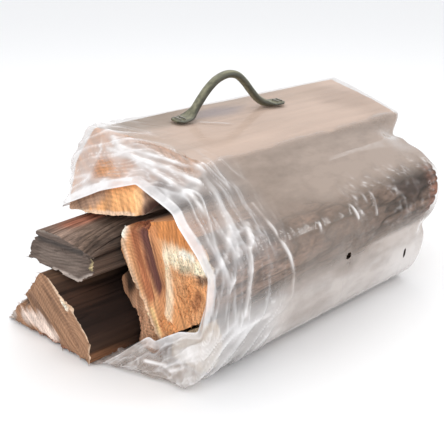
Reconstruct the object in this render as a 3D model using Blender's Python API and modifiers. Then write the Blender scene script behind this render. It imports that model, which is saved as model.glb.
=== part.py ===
"""Firewood bundle: seven split logs in a clear shrink-film sleeve, with a stapled carry handle.

The pile is laid out in its own frame, in millimetres: x runs along the logs from the open end
of the sleeve, y runs across them and z is the height over the ground. The last step moves the
whole bundle so that its bounding box is centred over the origin and stands on z = 0.
"""
import math

import bmesh
import bpy
import numpy as np

MM = 0.001

# Driving dimensions of the bundle
LOG_FLOOR = 1.0          # height of the lowest log faces, over the film that they lie on
FILM_WALL = 0.4          # shrink film, drawn several times its real thickness
FILM_AIR = 0.6           # air left between the film and the logs
RING_STEP = 17.0         # longest side of a log's outline between two points
LOG_STATIONS = 11        # outlines along one log
FILM_SNAP = 4.5          # a rim this close to the sleeve's section lies on it
CORNER_CLEAR = 0.05      # radians round the sleeve kept free of other points at each corner
FILM_POINTS = 56         # points round the sleeve
HANDLE_POINTS = 12       # points round the handle strap
HOLLOW_SHARE = 0.085     # how far a split face dips towards the log's heart, as a share
RIDGE_DEPTH = 2.6        # the grooves and ridges that splitting leaves along the grain
DROP_REACH = 0.25        # share of its length over which a log's top falls to its near end
SLEEVE_NEAR = 76.0       # where the straight part of the sleeve starts and ends
SLEEVE_FAR = 336.0

# Each log: its outline across the grain as (y, z, corner radius), in order round the log,
# then its two sawn ends as (start, per_y, per_z, twist), which TWIST_PLACE explains.
# A ledge is a strip round the outline that lies deeper: where it starts and ends, as shares of
# the way round, and its depth. The swing shifts the waves of one log against the others'.
TWIST_PLACE = np.array((125.0, 170.0))   # x = start + per_y y + per_z z + twist (y - ..)(z - ..)
LOGS = {
    "top_log": {
        "outline": [(187, 128.6, 3), (112, 140.2, 4), (69, 149.6, 4), (60, 165, 8),
                    (45, 183, 5), (45, 193.5, 4), (120, 206, 30), (189, 214, 5), (202, 172, 12)],
        "near": (-106.9, -0.109, 0.881, -0.00608), "far": (391, 0.306, 0.0, 0.0),
        "colour": (0.60, 0.36, 0.22), "swing": 0.4, "ledge": (0.10, 0.22, 2.0)},
    "grey_slab": {
        "outline": [(172, 129.4, 5), (189, 88.5, 4), (150, 81.6, 3), (119, 75.5, 5),
                    (100, 90, 4), (100, 122, 5), (111, 139.2, 3)],
        "near": (-2.3, -0.26, 0.0, 0.0), "far": (347, 0.0, 0.03, 0.0),
        "colour": (0.27, 0.22, 0.18), "swing": 1.7, "ledge": (0.02, 0.10, 2.5), "near_drop": 7.0},
    "lower_left_log": {
        "outline": [(236, LOG_FLOOR, 2), (188, 53, 20), (164, 80.6, 4), (150, 80.9, 4),
                    (108, 54.5, 18), (84.5, 31, 5), (86, LOG_FLOOR, 2)],
        "near": (-43, -0.06, 0.0, 0.0), "far": (352, 0.0, 0.0, 0.0),
        "colour": (0.45, 0.30, 0.19), "swing": 2.9, "ledge": (0.52, 0.62, 3.0)},
    "middle_log": {
        "outline": [(113.5, 71, 4), (111.5, 58, 6), (83, 31.5, 4), (83.5, LOG_FLOOR, 3),
                    (48, LOG_FLOOR, 3), (51, 28, 8), (66, 50, 10), (82, 72, 8), (98, 86, 3)],
        "near": (10, 0.0, 0.05, 0.0), "far": (385, 0.0, 0.0, 0.0),
        "colour": (0.36, 0.21, 0.12), "swing": 4.1, "ledge": (0.66, 0.76, 2.5)},
    "right_log": {
        "outline": [(87, 140, 5), (97, 120, 5), (97, 106, 5), (80, 81, 12), (41, 27, 4),
                    (-19, 69.5, 8), (-43, 104, 34), (-38, 142, 22), (17, 163, 7), (57, 150.2, 4)],
        "near": (3.5, 0.0, 0.0, 0.0), "far": (343, 0.0, 0.235, 0.0),
        "colour": (0.66, 0.34, 0.13), "swing": 5.6, "ledge": (0.20, 0.30, 3.0)},
    "lower_right_log": {
        "outline": [(44.5, LOG_FLOOR, 2), (39.5, 26.6, 3), (-25.5, 72.6, 4), (-34, 48, 22),
                    (-25, 18, 16), (-5, LOG_FLOOR, 4)],
        "near": (20, 0.0, 0.0, 0.0), "far": (352, 0.0, 0.0, 0.0),
        "colour": (0.72, 0.58, 0.36), "swing": 0.9, "ledge": (0.25, 0.35, 2.0)},
    "back_left_log": {
        "outline": [(231, 8.5, 4), (188, 58, 5), (194.5, 121, 4), (203, 129, 5),
                    (214, 121, 8), (228, 70, 30), (234.5, 24, 12)],
        "near": (72, 0.0, 0.0, 0.0), "far": (404, 0.0, 0.0, 0.0),
        "colour": (0.42, 0.27, 0.17), "swing": 3.4, "ledge": (0.30, 0.42, 2.0)},
}

# The sleeve's open end: where the taut film turns inwards round the log ends, as (x, y, z) places
# on its section, and the free rim of the mouth. Both go round the sleeve.
NEAR_FOLD = [(4, 236, 0), (40, 236, 22), (62, 229, 70), (66, 214, 121), (45, 211, 136),
             (24, 207, 158), (17, 203, 172), (35, 190, 214), (46, 118, 207), (63, 44, 194.5),
             (32, 10, 173), (2, -30, 149), (-4, -42, 128), (-5, -43.5, 102), (-4, -34, 48),
             (-6, -24, 18), (-10, -5, 0), (-13, 6, 0), (-22, 26, 0), (-30, 50, 0), (-36, 72, 0),
             (-36, 84, 0), (-34, 92, 0), (-28, 150, 0)]
NEAR_RIM = [(-6, 236, 0.4), (30, 236, 22), (52, 229, 70), (50, 216.5, 112), (38, 208, 124),
            (2, 194, 131), (-5, 189, 132), (-4, 185, 146), (12, 138, 162), (28, 100, 172),
            (24, 74, 168), (14, 32, 165), (8, 20, 166), (1, 5, 160), (-2, -24, 140),
            (-2, -34, 124), (-2, -28, 98), (-1, -16, 64), (2, 12, 38), (3, 48, 26),
            (-14, 62, 16), (-27, 70, 10), (-36, 77, 6), (-43, 83, 0.7), (-47, 92, 0.4),
            (-43, 150, 0.4)]
LIP_PLACES = [(83.0, 0.5), (77.0, 2.0)]     # ring points beside the log that lies in the mouth
# The closed-in far end: the same two lines, round an oval opening that the shrinking left.
FAR_FOLD = [(404, 236, 0), (408, 236, 22), (412, 229, 70), (428, 216, 112), (455, 212, 126),
            (457, 203, 172), (456, 190, 214), (433, 118, 207), (409, 44, 194.5), (381, 31, 182),
            (384, 10, 173), (382, -30, 149), (378, -42, 128), (371, -43.5, 102), (362, -39, 76),
            (362, -34, 48), (357, -24, 18), (358, -5, 0), (390, 50, 0), (404, 150, 0)]
# Where the far fold is drawn in between the logs: (y, z) on the section, how far, and its spread
FAR_DRAWS = [(29, 176, 15, 11), (8, 170, 6, 12), (-39, 76, 7, 10)]
FAR_RIM = [(409, 176, 46), (411, 186, 70), (421, 186, 108), (449, 188, 122), (452, 174, 140),
           (448, 158, 152), (443, 146, 160), (432, 110, 162), (417, 60, 156), (390, 20, 142),
           (383, 6, 118), (382, 4, 96), (381, 14, 62), (390, 40, 44), (396, 90, 34),
           (402, 140, 34)]
TOP_FACE = slice(5, 8)          # the corners of the top log's outline that make its top face
SLEEVE_HEART = (100.0, 92.0)    # the y and z that the rings are counted round

# Air holes punched in the film: (x, z, half width, half height) on the rounded side
AIR_HOLES = {"round": (202, 83, 3.6, 3.6), "slit": (322, 50, 1.8, 5.5)}

# The handle: the strap's centre line as (x, height over the film), the line's y at both feet,
# and the strap's width and thickness at the feet and along the arch.
HANDLE_ROUTE = [(123, 1.8), (134, 1.8), (143, 4.0), (151, 10), (160, 20), (171, 31), (184, 40),
                (200, 44.5), (215, 42), (227, 33), (237, 22), (248, 11), (259, 4.5), (270, 2.2),
                (280, 1.8), (290, 1.8)]
HANDLE_Y = (149.5, 140.5)
FOOT_SIZE = (21.0, 2.6)
ARCH_SIZE = (11.0, 9.0)
FOOT_LENGTH = 17.0
STAPLE_CROWN = 11.0
STAPLE_WIRE = 1.2
STAPLE_HOLE = 1.9        # side of the square clearance holes for a staple's legs
STAPLE_PAIR = 3.2        # half the spacing of the two staples on one foot
STAPLE_IN = 7.5          # from the strap's tip to the middle of its two staples
TOUCH_GAP = 0.3


def clear_scene():
    """Remove what the scene holds, and give back a collection for the bundle."""
    for old in list(bpy.data.objects):
        bpy.data.objects.remove(old, do_unlink=True)
    bundle = bpy.data.collections.new("firewood_bundle")
    tools = bpy.data.collections.new("cutters")
    bpy.context.scene.collection.children.link(bundle)
    bpy.context.scene.collection.children.link(tools)
    return bundle, tools


def make_material(name, colour, roughness, metallic=0.0, alpha=1.0):
    """A Principled material with the piece's plain colour."""
    material = bpy.data.materials.new(name)
    material.use_nodes = True
    shader = material.node_tree.nodes["Principled BSDF"]
    shader.inputs["Base Color"].default_value = (*colour, 1.0)
    shader.inputs["Roughness"].default_value = roughness
    shader.inputs["Metallic"].default_value = metallic
    shader.inputs["Alpha"].default_value = alpha
    return material


def rounded_outline(corners, step):
    """Closed outline through (y, z, radius) corners: each becomes an arc, long sides are split."""
    points = []
    count = len(corners)
    for i, (y, z, radius) in enumerate(corners):
        corner = np.array((y, z), float)
        before = np.array(corners[i - 1][:2], float) - corner
        after = np.array(corners[(i + 1) % count][:2], float) - corner
        reach = min(radius, 0.45 * np.linalg.norm(before), 0.45 * np.linalg.norm(after))
        start = corner + before / np.linalg.norm(before) * reach
        end = corner + after / np.linalg.norm(after) * reach
        pieces = 1 if radius < 6 else 2 if radius < 16 else 4
        for k in range(pieces + 1):
            t = k / pieces
            points.append((1 - t) ** 2 * start + 2 * t * (1 - t) * corner + t * t * end)
    split = []
    for i, point in enumerate(points):
        following = points[(i + 1) % len(points)]
        parts = max(1, math.ceil(np.linalg.norm(following - point) / step))
        split += [point + (following - point) * k / parts for k in range(parts)]
    return np.array(split)


def loft(name, rings, collection, material, closed_ends=True):
    """Skin a list of rings, each with the same number of points, into one mesh object."""
    mesh = bpy.data.meshes.new(name)
    shape = bmesh.new()
    rows = [[shape.verts.new(np.asarray(point) * MM) for point in ring] for ring in rings]
    for row, following in zip(rows, rows[1:]):
        for k in range(len(row)):
            n = (k + 1) % len(row)
            shape.faces.new((row[k], row[n], following[n], following[k]))
    if closed_ends:
        shape.faces.new(rows[0])
        shape.faces.new(rows[-1][::-1])
    bmesh.ops.recalc_face_normals(shape, faces=shape.faces)
    bmesh.ops.triangulate(shape, faces=shape.faces)
    shape.to_mesh(mesh)
    shape.free()
    mesh.materials.append(material)
    mesh.shade_smooth()
    mesh.set_sharp_from_angle(angle=math.radians(32))
    made = bpy.data.objects.new(name, mesh)
    collection.objects.link(made)
    return made


def sawn_end(plane, ring):
    """Places along the log where its sawn end cuts each point of an outline."""
    start, per_y, per_z, twist = plane
    return start + ring @ (per_y, per_z) + twist * np.prod(ring - TWIST_PLACE, axis=1)


def log_rings(log):
    """Outlines along a log. Its faces dip inwards between the ends and the middle.

    A point moves towards the log's heart by a share that is 0 at both ends and halfway, where
    the logs bear on each other, and that swells in between, in slow waves round the outline.
    Grooves of uneven depth run along the grain, and one strip lies deeper, where wood tore off.
    """
    outline = rounded_outline(log["outline"], RING_STEP)
    heart = outline.mean(axis=0)
    around = np.arange(len(outline)) / len(outline)
    low, high, depth = log["ledge"]
    on_ledge = (around > low) & (around < high)
    reach = np.linalg.norm(outline - heart, axis=1)
    ridges = np.modf(np.abs(np.sin(12.9898 * np.arange(len(outline)) + log["swing"])) * 437.58)[0]
    rings = []
    for t in np.linspace(0.0, 1.0, LOG_STATIONS):
        swell = math.sin(2 * math.pi * t) ** 2
        wave = 0.5 + 0.5 * np.sin(2 * math.pi * (2 * around + 0.8 * t) + log["swing"])
        share = HOLLOW_SHARE * swell * wave
        share += on_ledge * depth / reach * swell
        share += RIDGE_DEPTH * ridges ** 2 / reach * (0.3 + 0.7 * swell)
        if t in (0.0, 1.0):
            share += 1.2 / reach
        ring = outline + (heart - outline) * share[:, None]
        above = np.clip(ring[:, 1] - heart[1], 0.0, None) / (outline[:, 1].max() - heart[1])
        ring[:, 1] -= log.get("near_drop", 0.0) * above * max(0.0, 1 - t / DROP_REACH)
        near, far = sawn_end(log["near"], ring), sawn_end(log["far"], ring)
        rings.append(np.column_stack((near + (far - near) * t, ring)))
    return rings


def make_logs(bundle):
    """One object for each split log."""
    for name, log in LOGS.items():
        loft(name, log_rings(log), bundle, make_material(name, log["colour"], 0.85))


def convex_outline(points):
    """The convex outline round a set of (y, z) points, by the monotone chain method."""
    ordered = sorted(map(tuple, points))

    def half(sequence):
        chain = []
        for p in sequence:
            while len(chain) > 1:
                (ay, az), (by, bz) = chain[-2:]
                if (by - ay) * (p[1] - az) - (bz - az) * (p[0] - ay) > 0:
                    break
                chain.pop()
            chain.append(p)
        return chain[:-1]

    return np.array(half(ordered) + half(ordered[::-1]))


def sleeve_outline():
    """The taut film's section: the outline round all the logs, set out by the air gap."""
    corners = [corner[:2] for log in LOGS.values() for corner in log["outline"]]
    hull = convex_outline(corners)
    points = []
    for i, point in enumerate(hull):
        before = point - hull[i - 1]
        after = hull[(i + 1) % len(hull)] - point
        turn = [math.atan2(-side[0], side[1]) for side in (before, after)]
        if turn[1] < turn[0]:
            turn[1] += 2 * math.pi
        for angle in np.linspace(turn[0], turn[1], 3):
            points.append(point + FILM_AIR * np.array((math.cos(angle), math.sin(angle))))
    return np.array(points)


def by_angle(points):
    """A closed line's points against their angle round the heart of the sleeve."""
    points = np.asarray(points, float)
    flat = points[:, -2:] - SLEEVE_HEART
    angle = np.arctan2(flat[:, 1], flat[:, 0]) % (2 * math.pi)
    order = np.argsort(angle)
    return angle[order], points[order]


def at_angles(points, angles):
    """A closed line read off at the given angles, straight between its own points."""
    own, ordered = by_angle(points)
    return np.column_stack([np.interp(angles, own, column, period=2 * math.pi)
                            for column in ordered.T])


def sleeve_angles():
    """Angles of the ring points: even steps along the section, and one at each corner."""
    section = sleeve_outline()
    sides = np.roll(section, -1, axis=0) - section
    length = np.concatenate(([0.0], np.cumsum(np.linalg.norm(sides, axis=1))))
    closed = np.vstack((section, section[:1]))
    places = np.linspace(0.0, length[-1], FILM_POINTS, endpoint=False)
    even = np.column_stack([np.interp(places, length, column) for column in closed.T])
    corners = by_angle(np.vstack((section[1::3], LIP_PLACES)))[0]
    own = by_angle(even)[0]
    clear = np.abs(own[:, None] - corners).min(axis=1) > CORNER_CLEAR
    return np.unique(np.concatenate((own[clear], corners)))


def drawn_in(section):
    """The section with the film drawn towards its heart where no log holds it out."""
    inward = SLEEVE_HEART - section
    inward /= np.linalg.norm(inward, axis=1)[:, None]
    depth = np.zeros(len(section))
    for y, z, far, spread in FAR_DRAWS:
        gap = np.linalg.norm(section - (y, z), axis=1)
        depth += far * np.exp(-(gap / spread) ** 2)
    return section + inward * depth[:, None]


def sleeve_rings():
    """Rings of the film from the mouth's rim to the far rim."""
    angles = sleeve_angles()
    section = at_angles(sleeve_outline(), angles)

    def end_rings(fold, rim, sleeve_x, outline):
        fold_ring = np.column_stack((at_angles(fold, angles)[:, 0], outline))
        rim_ring = at_angles(rim, angles)
        close = np.linalg.norm(rim_ring[:, 1:] - section, axis=1) < FILM_SNAP
        rim_ring[close, 1:] = section[close]
        straight = np.column_stack((np.full(len(angles), sleeve_x), section))
        return [rim_ring, 0.5 * (rim_ring + fold_ring), fold_ring,
                0.5 * (fold_ring + straight), straight]

    near = end_rings(NEAR_FOLD, NEAR_RIM, SLEEVE_NEAR, section)
    far = end_rings(FAR_FOLD, FAR_RIM, SLEEVE_FAR, drawn_in(section))
    middle = [np.column_stack((np.full(len(angles), x), section))
              for x in np.linspace(SLEEVE_NEAR, SLEEVE_FAR, 8)[1:-1]]
    return near + middle + far[::-1]


def make_film(bundle):
    """The shrink-film sleeve: an open skin through the rings, thickened outwards."""
    clear = make_material("shrink_film", (0.86, 0.85, 0.84), 0.12, alpha=0.35)
    film = loft("shrink_film", sleeve_rings(), bundle, clear, closed_ends=False)
    wall = film.modifiers.new("wall", "SOLIDIFY")
    wall.thickness = FILM_WALL * MM
    wall.offset = 1.0
    return film


def film_top(y):
    """Height of the film's outer face over the top log, at a place across it."""
    across, height, _ = np.transpose(LOGS["top_log"]["outline"][TOP_FACE])
    return np.interp(y, across, height) + (FILM_AIR + FILM_WALL) * 1.02


def smooth_line(points, per_span):
    """A Catmull-Rom curve through the points, with per_span steps from one to the next."""
    points = np.asarray(points, float)
    padded = np.vstack((2 * points[0] - points[1], points, 2 * points[-1] - points[-2]))
    steps = np.arange(per_span)[:, None] / per_span
    spans = []
    for a, b, c, d in zip(padded, padded[1:], padded[2:], padded[3:]):
        spans.append(0.5 * (2 * b + (c - a) * steps + (2 * a - 5 * b + 4 * c - d) * steps ** 2
                            + (3 * b - a - 3 * c + d) * steps ** 3))
    return np.vstack(spans + [points[-1:]])


def top_slope():
    """Rise of the bundle's top for each millimetre across it, under the handle."""
    return float(film_top(HANDLE_Y[0]) - film_top(HANDLE_Y[1])) / (HANDLE_Y[0] - HANDLE_Y[1])


def handle_rings():
    """Sections along the strap: flat ovals on the feet that close up to a tube in the arch."""
    line = smooth_line(HANDLE_ROUTE, 2)
    x, height = line.T
    y = np.interp(x, (x[0], x[-1]), HANDLE_Y)
    centre = np.column_stack((x, y, height + film_top(y) + TOUCH_GAP))
    along = np.gradient(centre, axis=0)
    along /= np.linalg.norm(along, axis=1)[:, None]
    across = np.cross((0.0, -top_slope(), 1.0), along)
    across /= np.linalg.norm(across, axis=1)[:, None]
    up = np.cross(along, across)
    from_end = np.minimum(x - x[0], x[-1] - x)
    arch = np.clip((from_end - FOOT_LENGTH) / 14.0, 0.0, 1.0)
    arch = arch * arch * (3 - 2 * arch)
    tip = np.clip(0.72 + 0.28 * from_end / 4.0, 0.0, 1.0)
    width = (FOOT_SIZE[0] + (ARCH_SIZE[0] - FOOT_SIZE[0]) * arch) * tip
    thick = FOOT_SIZE[1] + (ARCH_SIZE[1] - FOOT_SIZE[1]) * arch
    angles = 2 * math.pi * (np.arange(HANDLE_POINTS) + 0.5) / HANDLE_POINTS
    power = 0.55 + 0.45 * arch
    rings = []
    for k in range(len(centre)):
        side = np.sign(np.cos(angles)) * np.abs(np.cos(angles)) ** power[k]
        rise = np.sign(np.sin(angles)) * np.abs(np.sin(angles)) ** power[k]
        rings.append(centre[k] + np.outer(side, across[k]) * width[k] / 2
                     + np.outer(rise, up[k]) * thick[k] / 2)
    return rings


def make_handle(bundle):
    """The carry handle, in one piece with its two flattened feet."""
    return loft("carry_handle", handle_rings(), bundle,
                make_material("carry_handle", (0.23, 0.25, 0.16), 0.5))


def bar(name, size, collection):
    """A box of the given size round the origin, with its size applied."""
    bpy.ops.mesh.primitive_cube_add(size=1.0)
    made = bpy.context.object
    made.name = name
    made.data.name = name
    made.scale = np.asarray(size) * MM
    bpy.ops.object.transform_apply(location=False, rotation=False, scale=True)
    move_to(made, collection)
    return made


def move_to(made, collection):
    """Put an object in one collection only."""
    for other in made.users_collection:
        other.objects.unlink(made)
    collection.objects.link(made)


def cut(target, cutter):
    """Take the cutter's volume out of the target."""
    cutter.hide_render = True
    cutter.display_type = "WIRE"
    step = target.modifiers.new(cutter.name, "BOOLEAN")
    step.operation = "DIFFERENCE"
    step.object = cutter


def staple_mesh(name):
    """A staple: a U of square wire, its crown along y with its underside at z = 0."""
    half, wire, leg = STAPLE_CROWN / 2, STAPLE_WIRE, FOOT_SIZE[1] + TOUCH_GAP - 0.1
    outline = [(-half, -leg), (-half, wire), (half, wire), (half, -leg), (half - wire, -leg),
               (half - wire, 0.0), (wire - half, 0.0), (wire - half, -leg)]
    shape = bmesh.new()
    face = shape.faces.new([shape.verts.new((-wire / 2 * MM, y * MM, z * MM))
                            for y, z in outline])
    swept = bmesh.ops.extrude_face_region(shape, geom=[face])["geom"]
    moved = [item for item in swept if isinstance(item, bmesh.types.BMVert)]
    bmesh.ops.translate(shape, verts=moved, vec=(wire * MM, 0, 0))
    bmesh.ops.triangulate(shape, faces=shape.faces)
    bmesh.ops.recalc_face_normals(shape, faces=shape.faces)
    mesh = bpy.data.meshes.new(name)
    shape.to_mesh(mesh)
    shape.free()
    return mesh


def make_staples(bundle, tools, handle):
    """Two wire staples across each foot, their legs in clearance holes through the strap."""
    mesh = staple_mesh("staple")
    mesh.materials.append(make_material("staple_steel", (0.45, 0.43, 0.40), 0.35, metallic=1.0))
    tilt = math.atan(top_slope())
    lean = (HANDLE_Y[1] - HANDLE_Y[0]) / (HANDLE_ROUTE[-1][0] - HANDLE_ROUTE[0][0])
    for foot, foot_x in (("near", HANDLE_ROUTE[0][0] + STAPLE_IN),
                         ("far", HANDLE_ROUTE[-1][0] - STAPLE_IN)):
        for number, offset in enumerate((-STAPLE_PAIR, STAPLE_PAIR), 1):
            x = foot_x + offset
            y = HANDLE_Y[0] + lean * (x - HANDLE_ROUTE[0][0])
            lift = HANDLE_ROUTE[0][1] + FOOT_SIZE[1] / 2 + 2 * TOUCH_GAP
            place = np.array((x, y - lift * math.sin(tilt), film_top(y) + lift * math.cos(tilt)))
            staple = bpy.data.objects.new(f"staple_{foot}_{number}", mesh)
            staple.location = place * MM
            staple.rotation_euler = (tilt, 0.0, 0.0)
            bundle.objects.link(staple)
            for side in (-1, 1):
                reach = side * (STAPLE_CROWN - STAPLE_WIRE) / 2
                hole = bar(f"leg_hole_{foot}_{number}_{side + 1}",
                           (STAPLE_HOLE, STAPLE_HOLE, 4 * FOOT_SIZE[1]), tools)
                turned = np.array((0.0, reach * math.cos(tilt), reach * math.sin(tilt)))
                hole.location = (place + turned) * MM
                hole.rotation_euler = (tilt, 0.0, 0.0)
                cut(handle, hole)


def punch_air_holes(film, tools):
    """Cut the two air holes through the film's rounded side."""
    for name, (x, z, half_width, half_height) in AIR_HOLES.items():
        bpy.ops.mesh.primitive_cylinder_add(vertices=10, radius=MM, depth=24 * MM,
                                            location=(x * MM, -36 * MM, z * MM),
                                            rotation=(math.pi / 2, 0, 0))
        cutter = bpy.context.object
        cutter.name = "air_hole_" + name
        cutter.scale = (half_width, half_height, 1.0)
        bpy.ops.object.transform_apply(location=False, rotation=False, scale=True)
        move_to(cutter, tools)
        cut(film, cutter)


def centre_on_origin(bundle, tools):
    """Move everything so that the bundle's box is centred over the origin and stands on 0."""
    bpy.context.view_layer.update()
    depsgraph = bpy.context.evaluated_depsgraph_get()
    corners = []
    for piece in bundle.objects:
        seen = piece.evaluated_get(depsgraph)
        mesh = seen.to_mesh()
        spots = np.empty(len(mesh.vertices) * 3)
        mesh.vertices.foreach_get("co", spots)
        spots = spots.reshape(-1, 3) + np.array(piece.location)
        corners += [spots.min(axis=0), spots.max(axis=0)]
        seen.to_mesh_clear()
    low, high = np.min(corners, axis=0), np.max(corners, axis=0)
    shift = np.array(((low[0] + high[0]) / 2, (low[1] + high[1]) / 2, low[2]))
    for piece in list(bundle.objects) + list(tools.objects):
        piece.location = np.array(piece.location) - shift
    print("bundle", np.round((high - low) / MM, 2), "moved by", np.round(shift / MM, 3))


def main():
    bundle, tools = clear_scene()
    make_logs(bundle)
    film = make_film(bundle)
    punch_air_holes(film, tools)
    handle = make_handle(bundle)
    make_staples(bundle, tools, handle)
    centre_on_origin(bundle, tools)


main()
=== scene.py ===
# %% [markdown]
# # A bundle of firewood in shrink film
#
# Seven split logs lie in a sleeve of clear film that was shrunk tight round them. An olive strap,
# stapled to the top, carries the bundle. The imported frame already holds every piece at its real
# size. This lesson gives each piece its looks: grain and bark on the logs, folds and haze in the
# film, and a moulded strap. Every new surface is a grid of points that numpy works out at once.

# %% Load the frame
import itertools
import math

import bpy
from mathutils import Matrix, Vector
import numpy as np


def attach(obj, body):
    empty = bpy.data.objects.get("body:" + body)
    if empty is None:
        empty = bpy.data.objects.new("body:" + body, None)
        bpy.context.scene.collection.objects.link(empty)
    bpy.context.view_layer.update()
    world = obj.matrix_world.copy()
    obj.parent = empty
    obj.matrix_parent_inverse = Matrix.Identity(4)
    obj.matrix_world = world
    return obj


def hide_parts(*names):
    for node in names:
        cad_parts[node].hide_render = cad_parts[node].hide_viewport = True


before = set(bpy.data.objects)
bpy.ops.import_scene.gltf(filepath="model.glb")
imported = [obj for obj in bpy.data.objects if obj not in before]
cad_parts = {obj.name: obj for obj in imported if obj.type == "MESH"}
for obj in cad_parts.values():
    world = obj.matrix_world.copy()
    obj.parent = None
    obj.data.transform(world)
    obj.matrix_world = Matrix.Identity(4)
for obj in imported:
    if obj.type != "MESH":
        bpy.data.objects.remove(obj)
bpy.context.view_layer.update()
print("pieces in the frame:", ", ".join(sorted(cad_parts)))

# %% [markdown]
# ## One set of units
#
# The pile was laid out in millimetres: x along the logs from the open end, y across them, z up.
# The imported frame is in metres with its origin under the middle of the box. One function turns
# the first into the second, so that every size below can be read in millimetres.

# %% From the pile's millimetres to the frame's metres
MM = 0.001
PILE_CENTRE = np.array((200.142, 96.365, 0.0))   # the frame's origin, seen from the pile


def to_frame(points):
    """Frame metres from pile millimetres: take the centre off, then scale by a thousandth."""
    return (np.asarray(points, float) - PILE_CENTRE) * MM


print("the open end is at x =", round(float(to_frame((0, 0, 0))[0]), 3), "m")

# %% [markdown]
# ## Smooth random numbers
#
# Wood, bark and crumpled film are all uneven in the same way: the unevenness is random, but close
# places are alike. Value noise does that. Each corner of a lattice of cells gets a fixed number,
# and the numbers are blended smoothly inside a cell. Cells that are long in x and thin in y and z
# give streaks that run along the grain.

# %% Value noise on whole arrays
MIXERS = np.array((73856093, 19349663, 83492791))
SEED_STEP, SCRAMBLER = 26544357, 1274126177
LOW_16_BITS, LOW_32_BITS = 0xFFFF, 0xFFFFFFFF


def cell_number(cells, seed):
    """A fixed number from -1 to 1 for each cell: its indices are mixed by large odd factors."""
    mixed = (cells.astype(np.int64) * MIXERS).sum(axis=-1) + seed * SEED_STEP
    mixed = ((mixed ^ (mixed >> 13)) * SCRAMBLER) & LOW_32_BITS
    mixed = (mixed ^ (mixed >> 15)) & LOW_16_BITS
    return mixed / (LOW_16_BITS / 2) - 1.0


def noise(points, size, seed=0):
    """Value noise from -1 to 1: the eight corner numbers of a cell, weighted by smooth steps."""
    spot = np.asarray(points, float) / size
    cell = np.floor(spot)
    part = spot - cell
    part = part ** 3 * (part * (part * 6 - 15) + 10)
    total = 0.0
    for corner in itertools.product((0, 1), repeat=3):
        weight = np.prod(np.where(corner, part, 1 - part), axis=-1)
        total = total + weight * cell_number(cell + corner, seed)
    return total


def layered(points, size, layers, seed=0):
    """Sum of noises, each half as large and half as strong as the one before, from -1 to 1."""
    size = np.asarray(size, float)
    total = sum(noise(points, size / 2 ** k, seed + 17 * k) / 2 ** k for k in range(layers))
    return total / (2 - 2.0 ** (1 - layers))


def smooth_step(value, low, high):
    """0 below low, 1 above high and a smooth S between them."""
    t = np.clip((value - low) / (high - low), 0.0, 1.0)
    return t * t * (3 - 2 * t)


sample = noise(np.random.default_rng(1).uniform(0, 900, (2000, 3)), (60, 6, 6))
print("noise runs from", sample.min().round(2), "to", sample.max().round(2))

# %% [markdown]
# ## From an array to a mesh
#
# Each piece is a grid: rows of points, with columns that go round it. A tube closes the columns
# into rings, and a solid also closes its first and last row with a fan of triangles to one point.
# foreach_set copies whole arrays into Blender, which is much faster than adding vertices one by
# one. A colour for each point goes in as an attribute that the material reads.

# %% Grid meshes
def grid_faces(rows, columns):
    """Corner numbers of the four-sided faces of a grid whose columns close into rings."""
    row = np.arange(rows - 1)[:, None] * columns
    here = np.arange(columns)[None, :]
    following = (here + 1) % columns
    return np.stack((row + here, row + following, row + columns + following,
                     row + columns + here), axis=-1).reshape(-1, 4)


def fan_faces(ring, centre, flip):
    """Triangles from each side of a ring of corner numbers to one centre point."""
    following = np.roll(ring, -1)
    order = (following, ring) if flip else (ring, following)
    return np.stack((*order, np.full(len(ring), centre)), axis=-1)


def end_fans(rows, columns):
    """Fans that close both ends of a grid, to two points that come right after its own."""
    last = (rows - 1) * columns
    return np.vstack((fan_faces(np.arange(columns), last + columns, True),
                      fan_faces(last + np.arange(columns), last + columns + 1, False)))


def make_mesh(name, points, quads, triangles=None, tints=None, marks=None):
    """A mesh object from arrays: points in frame metres, faces as corner numbers."""
    triangles = np.zeros((0, 3), int) if triangles is None else triangles
    corners = np.concatenate((quads.ravel(), triangles.ravel()))
    sizes = np.concatenate((np.full(len(quads), 4), np.full(len(triangles), 3)))
    mesh = bpy.data.meshes.new(name)
    mesh.vertices.add(len(points))
    mesh.vertices.foreach_set("co", np.asarray(points, np.float32).ravel())
    mesh.loops.add(len(corners))
    mesh.loops.foreach_set("vertex_index", corners.astype(np.int32))
    mesh.polygons.add(len(sizes))
    starts = np.concatenate(([0], np.cumsum(sizes)[:-1])).astype(np.int32)
    mesh.polygons.foreach_set("loop_start", starts)
    mesh.update(calc_edges=True)
    mesh.shade_smooth()
    if tints is not None:
        layer = mesh.color_attributes.new("tint", "FLOAT_COLOR", "POINT")
        rgba = np.column_stack((tints, np.ones(len(tints))))
        layer.data.foreach_set("color", rgba.astype(np.float32).ravel())
    for label, values in (marks or {}).items():
        mark = mesh.attributes.new(label, "FLOAT", "POINT")
        mark.data.foreach_set("value", np.asarray(values, np.float32).ravel())
    made = bpy.data.objects.new(name, mesh)
    bpy.context.scene.collection.objects.link(made)
    return made


print("a grid of 4 rows and 5 columns has", len(grid_faces(4, 5)), "faces")

# %% [markdown]
# ## The camera
#
# The view looks along the bundle from its open end and a little from above. It was found from the
# long edges of the logs, which all run to one vanishing point. The lens and the place of the
# camera are set in the pile's own frame and turned into frame metres like everything else.

# %% Camera
CAMERA_PLACE = (-406.41, -472.26, 408.23)
CAMERA_AIM = (0.6489, 0.6695, -0.3616)
FOCAL_PIXELS = 750.0
FRAME_PIXELS = 444.0
SENSOR = 36.0


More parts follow.
